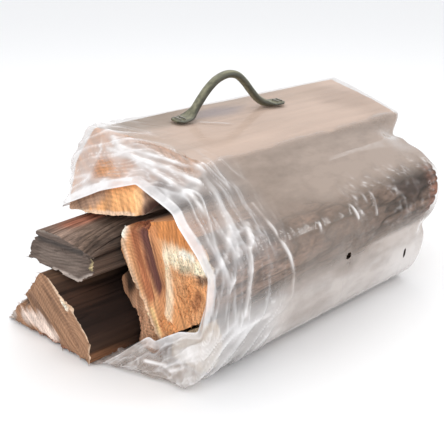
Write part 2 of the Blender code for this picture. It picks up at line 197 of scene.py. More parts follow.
def add_camera():
    """A camera whose lens length is the sensor's width times focal pixels over frame pixels."""
    data = bpy.data.cameras.new("camera")
    data.sensor_width = SENSOR
    data.lens = SENSOR * FOCAL_PIXELS / FRAME_PIXELS
    data.clip_start = 0.01
    camera = bpy.data.objects.new("camera", data)
    camera.location = to_frame(CAMERA_PLACE)
    camera.rotation_euler = Vector(CAMERA_AIM).to_track_quat("-Z", "Y").to_euler()
    bpy.context.scene.collection.objects.link(camera)
    bpy.context.scene.camera = camera
    print("lens", round(data.lens, 1), "mm")


add_camera()

# %% [markdown]
# ## The shape of a split log
#
# A log is a prism that an axe left: flat split faces, a round back where bark was, and two sawn
# ends. Its outline across the grain is a short list of corners with a radius each. The same
# corners made the solids in the frame, so the detailed log fills the same place. Everything that
# is added only moves inwards, so that two logs never meet.

# %% Outlines of the logs, as (y, z, corner radius) in millimetres
FLOOR = 1.0
LOG_OUTLINES = {
    "top_log": [(187, 128.6, 3), (112, 140.2, 4), (69, 149.6, 4), (60, 165, 8),
                (45, 183, 5), (45, 193.5, 4), (120, 206, 30), (189, 214, 5), (202, 172, 12)],
    "grey_slab": [(172, 129.4, 5), (189, 88.5, 4), (150, 81.6, 3), (119, 75.5, 5),
                  (100, 90, 4), (100, 122, 5), (111, 139.2, 3)],
    "lower_left_log": [(236, FLOOR, 2), (188, 53, 20), (164, 80.6, 4), (150, 80.9, 4),
                       (108, 54.5, 18), (84.5, 31, 5), (86, FLOOR, 2)],
    "middle_log": [(113.5, 71, 4), (111.5, 58, 6), (83, 31.5, 4), (83.5, FLOOR, 3),
                   (48, FLOOR, 3), (51, 28, 8), (66, 50, 10), (82, 72, 8), (98, 86, 3)],
    "right_log": [(87, 140, 5), (97, 120, 5), (97, 106, 5), (80, 81, 12), (41, 27, 4),
                  (-19, 69.5, 8), (-43, 104, 34), (-38, 142, 22), (17, 163, 7), (57, 150.2, 4)],
    "lower_right_log": [(44.5, FLOOR, 2), (39.5, 26.6, 3), (-25.5, 72.6, 4), (-34, 48, 22),
                        (-25, 18, 16), (-5, FLOOR, 4)],
    "back_left_log": [(231, 8.5, 4), (188, 58, 5), (194.5, 121, 4), (203, 129, 5),
                      (214, 121, 8), (228, 70, 30), (234.5, 24, 12)],
}

# Sawn ends as (start, per_y, per_z, twist), for the surface
# x = start + per_y y + per_z z + twist (y - 125)(z - 170)
TWIST_PLACE = np.array((125.0, 170.0))
NEAR_ENDS = {
    "top_log": (-106.9, -0.109, 0.881, -0.00608), "grey_slab": (-2.3, -0.26, 0.0, 0.0),
    "lower_left_log": (-43, -0.06, 0.0, 0.0), "middle_log": (10, 0.0, 0.05, 0.0),
    "right_log": (3.5, 0.0, 0.0, 0.0), "lower_right_log": (20, 0.0, 0.0, 0.0),
    "back_left_log": (72, 0.0, 0.0, 0.0)}
FAR_ENDS = {
    "top_log": (391, 0.306, 0.0, 0.0), "grey_slab": (347, 0.0, 0.03, 0.0),
    "lower_left_log": (352, 0.0, 0.0, 0.0), "middle_log": (385, 0.0, 0.0, 0.0),
    "right_log": (343, 0.0, 0.235, 0.0), "lower_right_log": (352, 0.0, 0.0, 0.0),
    "back_left_log": (404, 0.0, 0.0, 0.0)}
print(len(LOG_OUTLINES), "logs")

# %% A closed outline with round corners
ARC_POINTS = 9
LONGEST_ARC = 0.45                          # as a share of the shorter side at a corner


def unit(vectors):
    """Vectors of length 1 in the same directions."""
    return vectors / np.linalg.norm(vectors, axis=-1, keepdims=True)


def spread_evenly(points, count):
    """Points at even steps along a closed line, read off between its own points."""
    closed = np.vstack((points, points[:1]))
    steps = np.linalg.norm(np.diff(closed, axis=0), axis=1)
    length = np.concatenate(([0.0], np.cumsum(steps)))
    places = np.linspace(0.0, length[-1], count, endpoint=False)
    return np.column_stack([np.interp(places, length, column) for column in closed.T])


def rounded_outline(corners, count):
    """Each corner becomes a quadratic arc (1-t)^2 a + 2t(1-t) b + t^2 c, then even steps."""
    place = np.array(corners, float)[:, :2]
    radius = np.array(corners, float)[:, 2:]
    before = np.roll(place, 1, axis=0) - place
    after = np.roll(place, -1, axis=0) - place
    shorter = np.minimum(np.linalg.norm(before, axis=1), np.linalg.norm(after, axis=1))
    reach = np.minimum(radius, LONGEST_ARC * shorter[:, None])
    start = (place + unit(before) * reach)[:, None]
    end = (place + unit(after) * reach)[:, None]
    t = np.linspace(0.0, 1.0, ARC_POINTS)[None, :, None]
    arcs = (1 - t) ** 2 * start + 2 * t * (1 - t) * place[:, None] + t * t * end
    return spread_evenly(arcs.reshape(-1, 2), count)


def outward(outline):
    """Unit normals of a closed outline: its direction turned by a right angle, away from it."""
    along = np.roll(outline, -1, axis=0) - np.roll(outline, 1, axis=0)
    turned = unit(np.column_stack((along[:, 1], -along[:, 0])))
    away = (turned * (outline - outline.mean(axis=0))).sum() > 0
    return turned if away else -turned


def distance_to_line(spots, line):
    """Least distance from each spot to a line of straight pieces."""
    line = np.asarray(line, float)
    nearest = np.full(len(spots), np.inf)
    for start, end in zip(line, line[1:]):
        side = end - start
        share = np.clip((spots - start) @ side / (side @ side), 0, 1)
        gap = np.linalg.norm(spots - start - share[:, None] * side, axis=1)
        nearest = np.minimum(nearest, gap)
    return nearest


print("right log's outline:", len(rounded_outline(LOG_OUTLINES["right_log"], 300)), "points")

# %% [markdown]
# ## Grain, grooves and bark as real relief
#
# Splitting pulls the fibres apart, so a split face is all ridges and grooves along the grain, a
# few deep and many fine. Bark is cracked into plates by furrows. Both are moves of the grid's
# points along the outline's normal, worked out from stretched noise. A bark stretch is named by
# the corners between which it lies on the outline.

# %% How rough each log is, and where it keeps its bark
# near_drop sinks a worn top: how far all over, how far at its right, and the y where that starts
# shade scales how dark the painted shade in the grooves gets
LOG_STYLES = {
    "top_log": dict(seed=3, groove=0.7, wave=2.6, bark=[], pith=(120, 60), shade=0.3),
    "grey_slab": dict(seed=11, groove=4.5, wave=1.5, bark=[], pith=(150, 190), shade=1.3,
                      near_drop=(7.0, 20.0, 160.0)),
    "lower_left_log": dict(seed=23, groove=2.4, wave=2.5, bark=[((236, 1), (176, 66))],
                           pith=(112, 18)),
    "middle_log": dict(seed=31, groove=2.0, wave=2.0, bark=[], pith=(70, 110)),
    "right_log": dict(seed=43, groove=1.8, wave=2.0, bark=[((-19, 69.5), (-10, 153))],
                      pith=(80, 95)),
    "lower_right_log": dict(seed=57, groove=1.6, wave=1.5, bark=[((-25.5, 72.6), (-5, 1))],
                            pith=(60, 20)),
    "back_left_log": dict(seed=61, groove=1.8, wave=2.0, bark=[((203, 129), (231, 8.5))],
                          pith=(150, 70)),
}
BARK_DEPTH = 3.2
FIBRE_DEPTH = 0.3
print("bark stretches:", sum(len(style["bark"]) for style in LOG_STYLES.values()))

# %% Relief from noise, whose cells are in mm along x, y and z
WAVE_CELLS, GROOVE_CELLS, BREAK_CELLS = (170, 24, 24), (190, 9, 9), (60, 20, 20)
FIBRE_CELLS, FURROW_CELLS, CRUMB_CELLS = (60, 3.4, 3.4), (46, 15, 15), (9, 5, 5)
GROOVE_POWER, FURROW_POWER = 9, 6


def split_relief(spots, style):
    """Depth in mm below the plain face: a slow wave, sharp grooves and fine fibres.

    A groove is where a noise crosses zero: (1 - |n|) to a high power peaks in thin lines.
    """
    seed = style["seed"]
    slow = style["wave"] * (0.5 + 0.5 * layered(spots, WAVE_CELLS, 2, seed))
    crossing = 1 - np.abs(layered(spots, GROOVE_CELLS, 2, seed + 1))
    breaks = 0.6 + 0.4 * noise(spots, BREAK_CELLS, seed + 2)
    groove = style["groove"] * crossing ** GROOVE_POWER * breaks
    fine = FIBRE_DEPTH * np.abs(layered(spots, FIBRE_CELLS, 2, seed + 3))
    # painted shade: the colour is darkened in the grooves and fibres, as if they were shadowed
    shade = style.get("shade", 1.0) * (groove / style["groove"] + 0.5 * fine)
    return slow + groove + fine, np.clip(shade, 0, 1)


def bark_relief(spots, style):
    """Depth in mm in bark: wide furrows round long plates, and crumbs on the plates."""
    seed = style["seed"] + 7
    furrow = (1 - np.abs(layered(spots, FURROW_CELLS, 2, seed))) ** FURROW_POWER
    crumbs = 0.5 + 0.5 * layered(spots, CRUMB_CELLS, 3, seed + 1)
    # the second number is painted shade, darkest in the furrows
    return BARK_DEPTH * (0.75 * furrow + 0.25 * crumbs), np.clip(furrow + 0.2 * crumbs, 0, 1)


def bark_share(outline, stretches):
    """1 on the points of an outline that lie from one named place to another, and 0 elsewhere."""
    share = np.zeros(len(outline))
    for start, end in stretches:
        first = np.argmin(np.linalg.norm(outline - start, axis=1))
        last = np.argmin(np.linalg.norm(outline - end, axis=1))
        numbers = np.arange(len(outline))
        share = np.maximum(share, (numbers - first) % len(outline) <= (last - first) % len(outline))
    return share


edge_walk = rounded_outline(LOG_OUTLINES["right_log"], 300)
barked = bark_share(edge_walk, LOG_STYLES["right_log"]["bark"])
print("bark covers", round(100 * float(barked.mean())), "% of the right log's outline")

# %% [markdown]
# ## Colours that belong to a place on the wood
#
# Fresh wood, weathered wood, heartwood stain and rot sit in soft patches. A patch is a point with
# a reach along each axis, a colour and a strength. It fades with distance, and noise makes its
# edge run with the grain. The result is a colour for each point of the mesh. The fine streaks come
# later, in the material, where they can be sharper than the mesh.

# %% Wood colours
PALE_PEACH = (0.66, 0.51, 0.42)
ORANGE_PEACH = (0.80, 0.40, 0.17)
ORANGE = (0.72, 0.36, 0.17)
BRIGHT_ORANGE = (0.64, 0.255, 0.085)
ORANGE_BROWN = (0.58, 0.25, 0.11)
RED_BROWN = (0.38, 0.12, 0.055)
PURPLE_BROWN = (0.12, 0.042, 0.04)
CREAM = (0.93, 0.78, 0.57)
RIM_PEACH = (0.86, 0.60, 0.41)
TAN = (0.37, 0.205, 0.12)
PINK_TAN = (0.60, 0.34, 0.21)
PINK_WHITE = (0.82, 0.66, 0.57)
STREAK_BROWN = (0.17, 0.095, 0.06)
GREY_BROWN = (0.30, 0.24, 0.19)
WEATHERED = (0.17, 0.115, 0.085)
TAUPE = (0.145, 0.108, 0.09)
PALE_LIP = (0.52, 0.44, 0.39)
# near black, used only for painted shade on the logs
PAINTED_SHADE_BROWN = (0.028, 0.015, 0.011)
MID_BROWN = (0.22, 0.11, 0.06)
BARK_BROWN = (0.18, 0.12, 0.09)
HOLLOW_DARK = (0.006, 0.005, 0.004)
PALE_YELLOW = (0.88, 0.70, 0.47)

print("a fresh split face is", PALE_PEACH)

# %% Patches of colour
# Sides: a base, patches as (place x, y, z), (reach x, y, z), colour, strength, and the contrast
# of the streaks
LOG_COLOURS = {
    "top_log": (PALE_PEACH, [((90, 184, 212), (130, 38, 30), GREY_BROWN, 0.9),
                             ((60, 120, 206), (40, 40, 20), (0.50, 0.38, 0.30), 0.6),
                             ((270, 186, 213), (90, 14, 24), (0.46, 0.37, 0.31), 0.8),
                             ((390, 120, 206), (40, 70, 24), (0.48, 0.36, 0.29), 0.8),
                             ((240, 208, 213), (260, 16, 24), GREY_BROWN, 0.8),
                             # painted shadow: the strap's purple-grey shadow on the top face
                             ((200, 158, 211), (42, 18, 12), (0.38, 0.33, 0.34), 0.8),
                             ((330, 160, 213), (60, 24, 24), (0.50, 0.38, 0.30), 0.6),
                             ((250, 47, 176), (400, 14, 13), GREY_BROWN, 0.9),
                             # painted shade: near black on the right side near the open end, where
                             # it lies deep under the film
                             ((40, 55, 157), (60, 24, 13), PAINTED_SHADE_BROWN, 1.0)], 0.09),
    "grey_slab": (WEATHERED, [((0, 158, 128), (40, 14, 12), (0.37, 0.13, 0.075), 0.8),
                              ((-36, 140, 122), (14, 30, 12), (0.30, 0.21, 0.165), 0.7),
                              ((0, 104, 110), (90, 10, 30), (0.06, 0.042, 0.033), 0.7)], 0.6),
    # the first two patches are painted shade: the right split face lies in the slab's shadow, so
    # its own dark brown is taken to near black
    "lower_left_log": (TAN, [((60, 112, 46), (500, 74, 80), PAINTED_SHADE_BROWN, 1.0),
                             ((-30, 118, 60), (30, 14, 10), (0.07, 0.035, 0.022), 0.8),
                             ((-44, 90, 4), (40, 30, 9), (0.30, 0.14, 0.07), 0.9)], 0.3),
    # painted shade: near black along the top of the log, in the crevice under the slab
    "middle_log": (MID_BROWN, [((40, 100, 78), (300, 26, 26), PAINTED_SHADE_BROWN, 0.9)], 0.3),
    "right_log": (BARK_BROWN, [((10, 20, 160), (50, 60, 16), BRIGHT_ORANGE, 0.8),
                               ((75, 10, 158), (50, 50, 18), (0.56, 0.33, 0.21), 0.8),
                               ((0, 10, 90), (30, 80, 60), ORANGE, 0.7),
                               ((240, 10, 160), (200, 70, 18), GREY_BROWN, 1.0)], 0.2),
    "lower_right_log": (PALE_YELLOW, [((250, 0, 40), (170, 90, 90), GREY_BROWN, 0.8)], 0.2),
    "back_left_log": (TAN, [], 0.3),
}
# The same over bark: darker and redder stretches, and the shade behind the film's air holes
BARK_PATCHES = {
    "right_log": [((60, -36, 92), (90, 24, 50), (0.44, 0.28, 0.21), 0.6),
                  ((330, -30, 140), (52, 30, 24), (0.045, 0.03, 0.025), 0.95),
                  ((366, -40, 112), (12, 34, 44), (0.30, 0.12, 0.075), 0.8),
                  ((150, -24, 152), (44, 22, 14), (0.50, 0.33, 0.25), 0.6),
                  ((203, -44, 84), (11, 14, 10), HOLLOW_DARK, 1.0)],
    "lower_right_log": [((322, -34, 50), (7, 14, 11), (0.05, 0.022, 0.012), 1.0)],
}


print(sum(len(plan[1]) for plan in LOG_COLOURS.values()), "patches on the sides")

# %% Painting the patches on
EDGE_WOBBLE = 0.35
PATCH_CELLS, TONE_CELLS = (90, 12, 12), (150, 9, 9)


def paint(spots, base, patches, contrast, seed):
    """Each patch is mixed in by its strength times e^(-distance^4), with a noisy edge."""
    colour = np.broadcast_to(np.asarray(base, float), (len(spots), 3)).copy()
    wobble = layered(spots, PATCH_CELLS, 2, seed)
    for place, reach, patch, strength in patches:
        distance = np.linalg.norm((spots - place) / reach, axis=1) + EDGE_WOBBLE * wobble
        share = strength * np.exp(-np.clip(distance, 0, None) ** 4)
        colour += (np.array(patch) - colour) * share[:, None]
    tone = 1 + contrast * layered(spots, TONE_CELLS, 3, seed + 5)
    return np.clip(colour * tone[:, None], 0.0, 1.0)


orange_spot = paint(np.array(((0.0, 10.0, 90.0),)), *LOG_COLOURS["right_log"], 43)
print("on the right log's side:", orange_spot[0].round(2))

# %% [markdown]
# ## What axe and saw left on the near ends
#
# The near ends show best, so each one has a plan. A stroke is a band along a line on the end: it
# brings a colour, and it may be a groove or a ridge. A facet sets the end back past a straight
# line. Torn places get coarse fibres. All streaks on an end follow one direction, its grain.

# %% Plans of the near ends
# Strokes: (line of (y, z)), width, colour, strength, depth in mm. Facets: (along y, along z), the
# limit that they pass, slope, colour. Torn places: (y, z), (reach y, reach z).
END_PLANS = {
    "top_log": dict(
        base=ORANGE_PEACH, grain=0.5, chips=2.0, splinters=60,
        facets=[((-0.63, 0.77), 68.0, 0.2, (0.60, 0.37, 0.25))],
        # the first two strokes are painted shade: the right part of this end lies in the film's
        # shadow
        strokes=[([(66, 158), (50, 163)], 11.5, (0.06, 0.022, 0.014), 1.0, 1.0),
                 ([(82, 170), (60, 170)], 6.5, (0.07, 0.03, 0.02), 0.9, 1.0),
                 ([(180, 132), (160, 146), (148, 152)], 13, (0.42, 0.275, 0.20), 0.9, 0.3),
                 ([(135, 160), (119, 144)], 3, (0.46, 0.26, 0.15), 0.5, 0.5),
                 ([(170, 132), (119, 142), (80, 149)], 2.2, (0.90, 0.66, 0.48), 0.8, 0.0),
                 ([(98, 165), (84, 157), (79, 149)], 3, (0.92, 0.56, 0.28), 0.7, -0.5)]),
    "grey_slab": dict(
        base=TAUPE, grain=-0.12, contrast=0.15, chips=1.5, splinters=120, facets=[],
        torn=[((103, 100), (6, 12))],
        strokes=[([(172, 125), (140, 124), (112, 124)], 2.5, (0.33, 0.28, 0.24), 0.7, 0.0),
                 ([(172, 115), (146, 112), (116, 110)], 3.2, (0.06, 0.052, 0.048), 0.8, 1.5),
                 ([(160, 98), (125, 94)], 11, (0.23, 0.18, 0.15), 0.6, 0.0),
                 ([(152, 84), (120, 78), (104, 88)], 3.2, PALE_LIP, 0.9, -0.5),
                 ([(102, 104), (103, 96)], 3, (0.62, 0.50, 0.28), 0.8, -1.0)]),
    "lower_left_log": dict(
        base=TAN, grain=0.67, splinters=300, facets=[],
        torn=[((200, 32), (9, 8)), ((150, 2), (60, 4)), ((124, 54), (8, 7))],
        strokes=[([(186, 46), (161, 26), (141, 5)], 5, STREAK_BROWN, 0.85, 1.5),
                 ([(160, 66), (128, 38), (108, 16)], 3, (0.24, 0.13, 0.08), 0.65, 1.0),
                 ([(200, 44), (180, 24), (160, 4)], 3.5, (0.27, 0.16, 0.10), 0.55, 1.0),
                 ([(149, 80), (133, 65), (107, 52), (85, 29), (87, 3)], 3, (0.86, 0.64, 0.46),
                  0.85, -0.5),
                 ([(129, 59), (121, 52)], 2.6, (0.97, 0.84, 0.68), 0.95, -1.5),
                 ([(200, 17), (176, 19), (150, 9)], 9, PINK_WHITE, 1.0, -0.5),
                 ([(206, 38), (197, 35)], 5, (0.07, 0.055, 0.05), 0.95, 4.0),
                 ([(209, 35), (206, 31)], 2, (0.85, 0.84, 0.82), 0.9, -1.0),
                 ([(238, 2), (223, 12)], 6, (0.55, 0.50, 0.46), 0.8, 0.0),
                 ([(185, 3), (110, 2)], 3, (0.42, 0.20, 0.14), 0.6, 1.0)]),
    "middle_log": dict(
        base=(0.48, 0.25, 0.14), grain=1.45, splinters=120, facets=[],
        torn=[((72, 30), (20, 24))],
        strokes=[([(90, 44), (78, 18)], 10, PINK_TAN, 0.9, 0.0),
                 ([(70, 44), (66, 14)], 8, (0.62, 0.36, 0.22), 0.8, -1.0),
                 # painted shade: the top of the end, in the crevice under the slab
                 ([(104, 86), (98, 66)], 9, PAINTED_SHADE_BROWN, 0.95, 1.0)]),
    "right_log": dict(
        base=ORANGE, grain=1.2, splinters=560,
        facets=[((0.0, 1.0), 137.0, 0.28, BRIGHT_ORANGE)],
        torn=[((-8, 121), (34, 20)), ((-8, 88), (20, 30)), ((26, 46), (14, 16)),
              ((68, 144), (18, 8))],
        strokes=[([(76, 130), (68, 104), (54, 74)], 8, RED_BROWN, 0.85, 2.0),
                 ([(46, 142), (38, 110), (34, 72), (37, 44)], 7, ORANGE_BROWN, 0.8, 0.0),
                 # this purple-brown groove is partly the wood's own dark colour and partly painted
                 # shade on the recessed left facet
                 ([(62, 136), (55, 122), (50, 106), (42, 88)], 9.5, PURPLE_BROWN, 0.95, 3.5),
                 ([(-14, 108), (-4, 88), (10, 66), (24, 50)], 13, (0.70, 0.31, 0.12), 0.7, 0.0),
                 ([(-17, 98), (-10, 84)], 5, (0.28, 0.11, 0.05), 0.7, 2.0),
                 ([(26, 124), (21, 95), (24, 62)], 5.5, CREAM, 0.65, -1.5),
                 ([(20, 126), (-6, 128), (-24, 126), (-34, 133)], 12, (1.0, 0.83, 0.61), 1.0, -1.0),
                 ([(4, 134), (-12, 134)], 4, (1.0, 0.94, 0.82), 0.9, 0.0),
                 ([(-18, 114), (-28, 117)], 5, (0.13, 0.065, 0.04), 0.8, 3.0),
                 ([(-27, 134), (-31, 130)], 4, (0.16, 0.08, 0.05), 0.7, 3.0),
                 ([(-3, 121), (6, 117)], 4, (0.33, 0.31, 0.21), 0.6, 1.0),
                 ([(50, 58), (40, 36)], 3.5, (0.88, 0.64, 0.30), 0.7, 0.0),
                 ([(88, 132), (93, 118), (79, 86), (57, 51), (41, 30)], 4.5, RIM_PEACH, 0.85, -1.0),
                 ([(78, 143), (60, 147)], 5, (0.18, 0.055, 0.03), 0.9, 10.0),
                 ([(87, 137), (90, 127)], 3, (0.98, 0.88, 0.76), 0.95, -2.0)]),
    "lower_right_log": dict(base=PALE_YELLOW, grain=1.0, contrast=0.1, splinters=40, facets=[],
                            strokes=[]),
    "back_left_log": dict(base=TAN, grain=1.0, splinters=40, facets=[], strokes=[]),
}
FAR_END_GREY = (0.40, 0.29, 0.21)
print(sum(len(plan["strokes"]) for plan in END_PLANS.values()), "strokes on the near ends")

# %% Working out an end from its plan
STREAK_DEPTH = 0.9
TORN_DEPTH = 4.0
CHIP_DEPTH = 5.0
CHIP_REACH = 5.0
STROKE_WOBBLE = 0.45


def grain_noise(flat, angle, along, across, layers, seed):
    """Noise in streaks: (y, z) turned by the grain's angle, then long cells one way."""
    y, z = flat.T
    turned = np.column_stack((0 * y, y * math.cos(angle) + z * math.sin(angle),
                              z * math.cos(angle) - y * math.sin(angle)))
    return layered(turned, (9, along, across), layers, seed)


def torn_share(flat, plan):
    """1 inside the plan's torn places, fading to 0 past their edges."""
    share = np.zeros(len(flat))
    for place, reach in plan.get("torn", []):
        share = np.maximum(share, np.exp(-np.linalg.norm((flat - place) / reach, axis=1) ** 4))
    return share


def stroke_shares(flat, plan, seed):
    """For each stroke its share at each spot, e^(-(distance/width)^4), with a streaky edge."""
    wobble = STROKE_WOBBLE * grain_noise(flat, plan["grain"], 30, 4, 2, seed)
    return [np.exp(-np.clip(distance_to_line(flat, line) / width + wobble, 0, None) ** 4)
            for line, width, *_ in plan["strokes"]]


def facet_rise(flat, facet):
    """How far each spot lies past a facet's line, in mm."""
    return np.clip(flat @ facet[0] - facet[1], 0, None)


def end_recess(flat, plan, rim_gap, seed):
    """How far a near end lies back in mm: facets, strokes, streaks, torn fibres, chips."""
    back = STREAK_DEPTH * (0.5 + 0.5 * grain_noise(flat, plan["grain"], 40, 3, 3, seed))
    for facet in plan["facets"]:
        back = back + facet[2] * facet_rise(flat, facet)
    for share, (*_, depth) in zip(stroke_shares(flat, plan, seed), plan["strokes"]):
        back = back + depth * share
    fibres = np.abs(grain_noise(flat, plan["grain"], 13, 2.2, 3, seed + 2))
    lumps = layered(np.column_stack((0 * rim_gap, flat)), (9, 8, 8), 3, seed + 3)
    back = back + TORN_DEPTH * torn_share(flat, plan) * (0.7 * fibres + 0.5 * lumps)
    chips = np.clip(lumps - 0.1, 0, None) * np.exp(-rim_gap / CHIP_REACH)
    return back + plan.get("chips", CHIP_DEPTH) * chips


def end_colours(flat, plan, near, seed):
    """Base, facets and strokes on the near end, a grey base on the far one, and streaks."""
    colour = np.where(near[:, None], plan["base"], FAR_END_GREY) * np.ones((len(flat), 1))
    for facet in plan["facets"]:
        share = smooth_step(facet_rise(flat, facet), 0, 4) * near
        colour += (np.array(facet[3]) - colour) * share[:, None]
    for share, stroke in zip(stroke_shares(flat, plan, seed), plan["strokes"]):
        colour += (np.array(stroke[2]) - colour) * (share * stroke[3] * near)[:, None]
    streaks = grain_noise(flat, plan["grain"], 26, 2.6, 3, seed + 6)
    tone = 1 + plan.get("contrast", 0.3) * streaks
    return np.clip(colour * tone[:, None], 0.0, 1.0)


print("torn places:", sum(len(plan.get("torn", [])) for plan in END_PLANS.values()))

# %% [markdown]
# ## Building a log
#
# The whole log is one grid. Its first rows shrink from the sawn rim to the heart of the near end,
# the middle rows run along the log, and the last rows close the far end. Two rows very close to
# the rim keep the sawn edge crisp under smooth shading. The sawn ends get saw marks and torn
# fibres as small moves along x.

# %% Rows and sawn ends
CAP_ROWS = 44
CAP_SPAN = (0.02, 0.96)                     # shrink of the cap's first and last plain rows
INNER_BEVEL, EDGE_BEVEL = 0.985, 0.996
EDGE_SHARE = 0.0012                         # the rows next to the rim, as a share of the length
LOG_GRIDS = {"top_log": (330, 170), "grey_slab": (300, 150), "lower_left_log": (330, 150),
             "middle_log": (220, 90), "right_log": (360, 170), "lower_right_log": (240, 110),
             "back_left_log": (200, 90)}


def sawn_end(plane, spots):
    """x of a sawn plane at each (y, z): start + per_y y + per_z z + twist (y - y0)(z - z0)."""
    start, per_y, per_z, twist = plane
    return start + spots @ (per_y, per_z) + twist * np.prod(spots - TWIST_PLACE, axis=-1)


def row_plan(stations):
    """For each ring of points, its shrink towards the heart and its share of the length."""
    cap = np.concatenate((np.linspace(*CAP_SPAN, CAP_ROWS - 2), (INNER_BEVEL, EDGE_BEVEL)))
    shrink = np.concatenate((cap, np.ones(stations), cap[::-1]))
    inner = np.linspace(3 * EDGE_SHARE, 1 - 3 * EDGE_SHARE, stations - 4)
    run = np.concatenate(((0.0, EDGE_SHARE), inner, (1 - EDGE_SHARE, 1.0)))
    return shrink, np.concatenate((np.zeros(len(cap)), run, np.ones(len(cap))))


print("rings of the top log:", len(row_plan(LOG_GRIDS["top_log"][1])[0]))

# %% Moving the points of a log
DROP_REACH, SIDE_FADE = 0.25, 0.09          # the worn corner's reach, as shares of the length
SIDE_REACH = 50.0
RECESS_FADE = 3.0
SAW_CELLS = (9, 30, 3)


def rough_sides(spots, style, bark):
    """Depth of the split relief and its painted shade in the grooves, changed into the bark's by
    the bark share.
    """
    split_depth, split_groove_shade = split_relief(spots, style)
    bark_depth, bark_furrow_shade = bark_relief(spots, style)
    return (split_depth + (bark_depth - split_depth) * bark,
            split_groove_shade + (bark_furrow_shade - split_groove_shade) * bark)


def worn_corner(moved, outline, heart, along, drop):
    """How far a worn top sinks at the open end: by drop[0], and by drop[1] to the right of drop[2].

    Both grow with the height over the heart. The first fades in a straight line, the second as
    e^(-share/fade) along the log.
    """
    high = np.clip(moved[..., 1] - heart[1], 0, None) / (outline[:, 1].max() - heart[1])
    fall = drop[0] * high * np.clip(1 - along / DROP_REACH, 0, 1)[:, None]
    beyond = np.clip((drop[2] - moved[..., 0]) / SIDE_REACH, 0, 1)
    return fall + drop[1] * high * beyond * np.exp(-along / SIDE_FADE)[:, None]


def between_ends(name, flat, along):
    """x of each point by its share of the length, and the x of both sawn ends at its (y, z)."""
    near, far = sawn_end(NEAR_ENDS[name], flat), sawn_end(FAR_ENDS[name], flat)
    return near + (far - near) * along[:, None], near, far


def log_grid(name):
    """All points of a log in pile mm, and what its material reads: end, bark and the painted shade
    of the grooves.
    """
    style = LOG_STYLES[name]
    columns, stations = LOG_GRIDS[name]
    outline = rounded_outline(LOG_OUTLINES[name], columns)
    normal, heart = outward(outline), outline.mean(axis=0)
    shrink, along = row_plan(stations)
    flat = np.broadcast_to(outline, (len(along), columns, 2))
    x = between_ends(name, flat, along)[0]
    bark = np.tile(bark_share(outline, style["bark"]), len(along))
    depth, dark = rough_sides(np.dstack((x, flat)).reshape(-1, 3), style, bark)
    moved = flat - normal * depth.reshape(len(along), columns)[..., None]
    fall = worn_corner(moved, outline, heart, along, style.get("near_drop", (0.0, 0.0, 0.0)))
    moved = moved - np.stack((np.zeros_like(fall), fall), axis=-1)
    moved = heart + (moved - heart) * shrink[:, None, None]
    x, near, far = between_ends(name, moved, along)
    rim_gap = (1 - shrink)[:, None] * np.linalg.norm(flat - heart, axis=-1)
    recess = end_recess(moved.reshape(-1, 2), END_PLANS[name], rim_gap.ravel(), style["seed"] + 9)
    x = x + recess.reshape(x.shape) * np.clip(1 - (x - near) / (far - near) * RECESS_FADE, 0, 1)
    end = np.repeat(shrink < 1.0, columns).astype(float)
    saw = STREAK_DEPTH * layered(np.dstack((x, moved)).reshape(-1, 3), SAW_CELLS, 2, style["seed"])
    x = x - np.abs(saw * end).reshape(x.shape) * (along > 0.5)[:, None]
    return np.dstack((x, moved)), end, bark, dark, np.repeat(along < 0.5, columns)


print("points in all logs:", sum(columns * len(row_plan(stations)[0])
                                 for columns, stations in LOG_GRIDS.values()))

# %% [markdown]
# ## Splinters
#
# Torn fibres stand out of the sawn ends, most of them in the torn places and along the rim. They
# could be particles, but a fixed list of random draws gives the same splinters in each run, and
# one mesh for each log is quick to export. A splinter is a spike with three sides. Its root is
# sunk in the end, and it leans out of the end along the grain.

# %% Splinters on the near ends
SPLINTER_LENGTH = (1.0, 3.6)
SPLINTER_THICK = (0.35, 0.8)
SPLINTER_LEAN = (0.15, 0.6)
SPLINTER_SPREAD = 0.3
FEW_LONGER = 1.2
ROOT_DEPTH = 0.6
RIM_WEIGHT = 0.25
OVER_FLOOR = 0.2


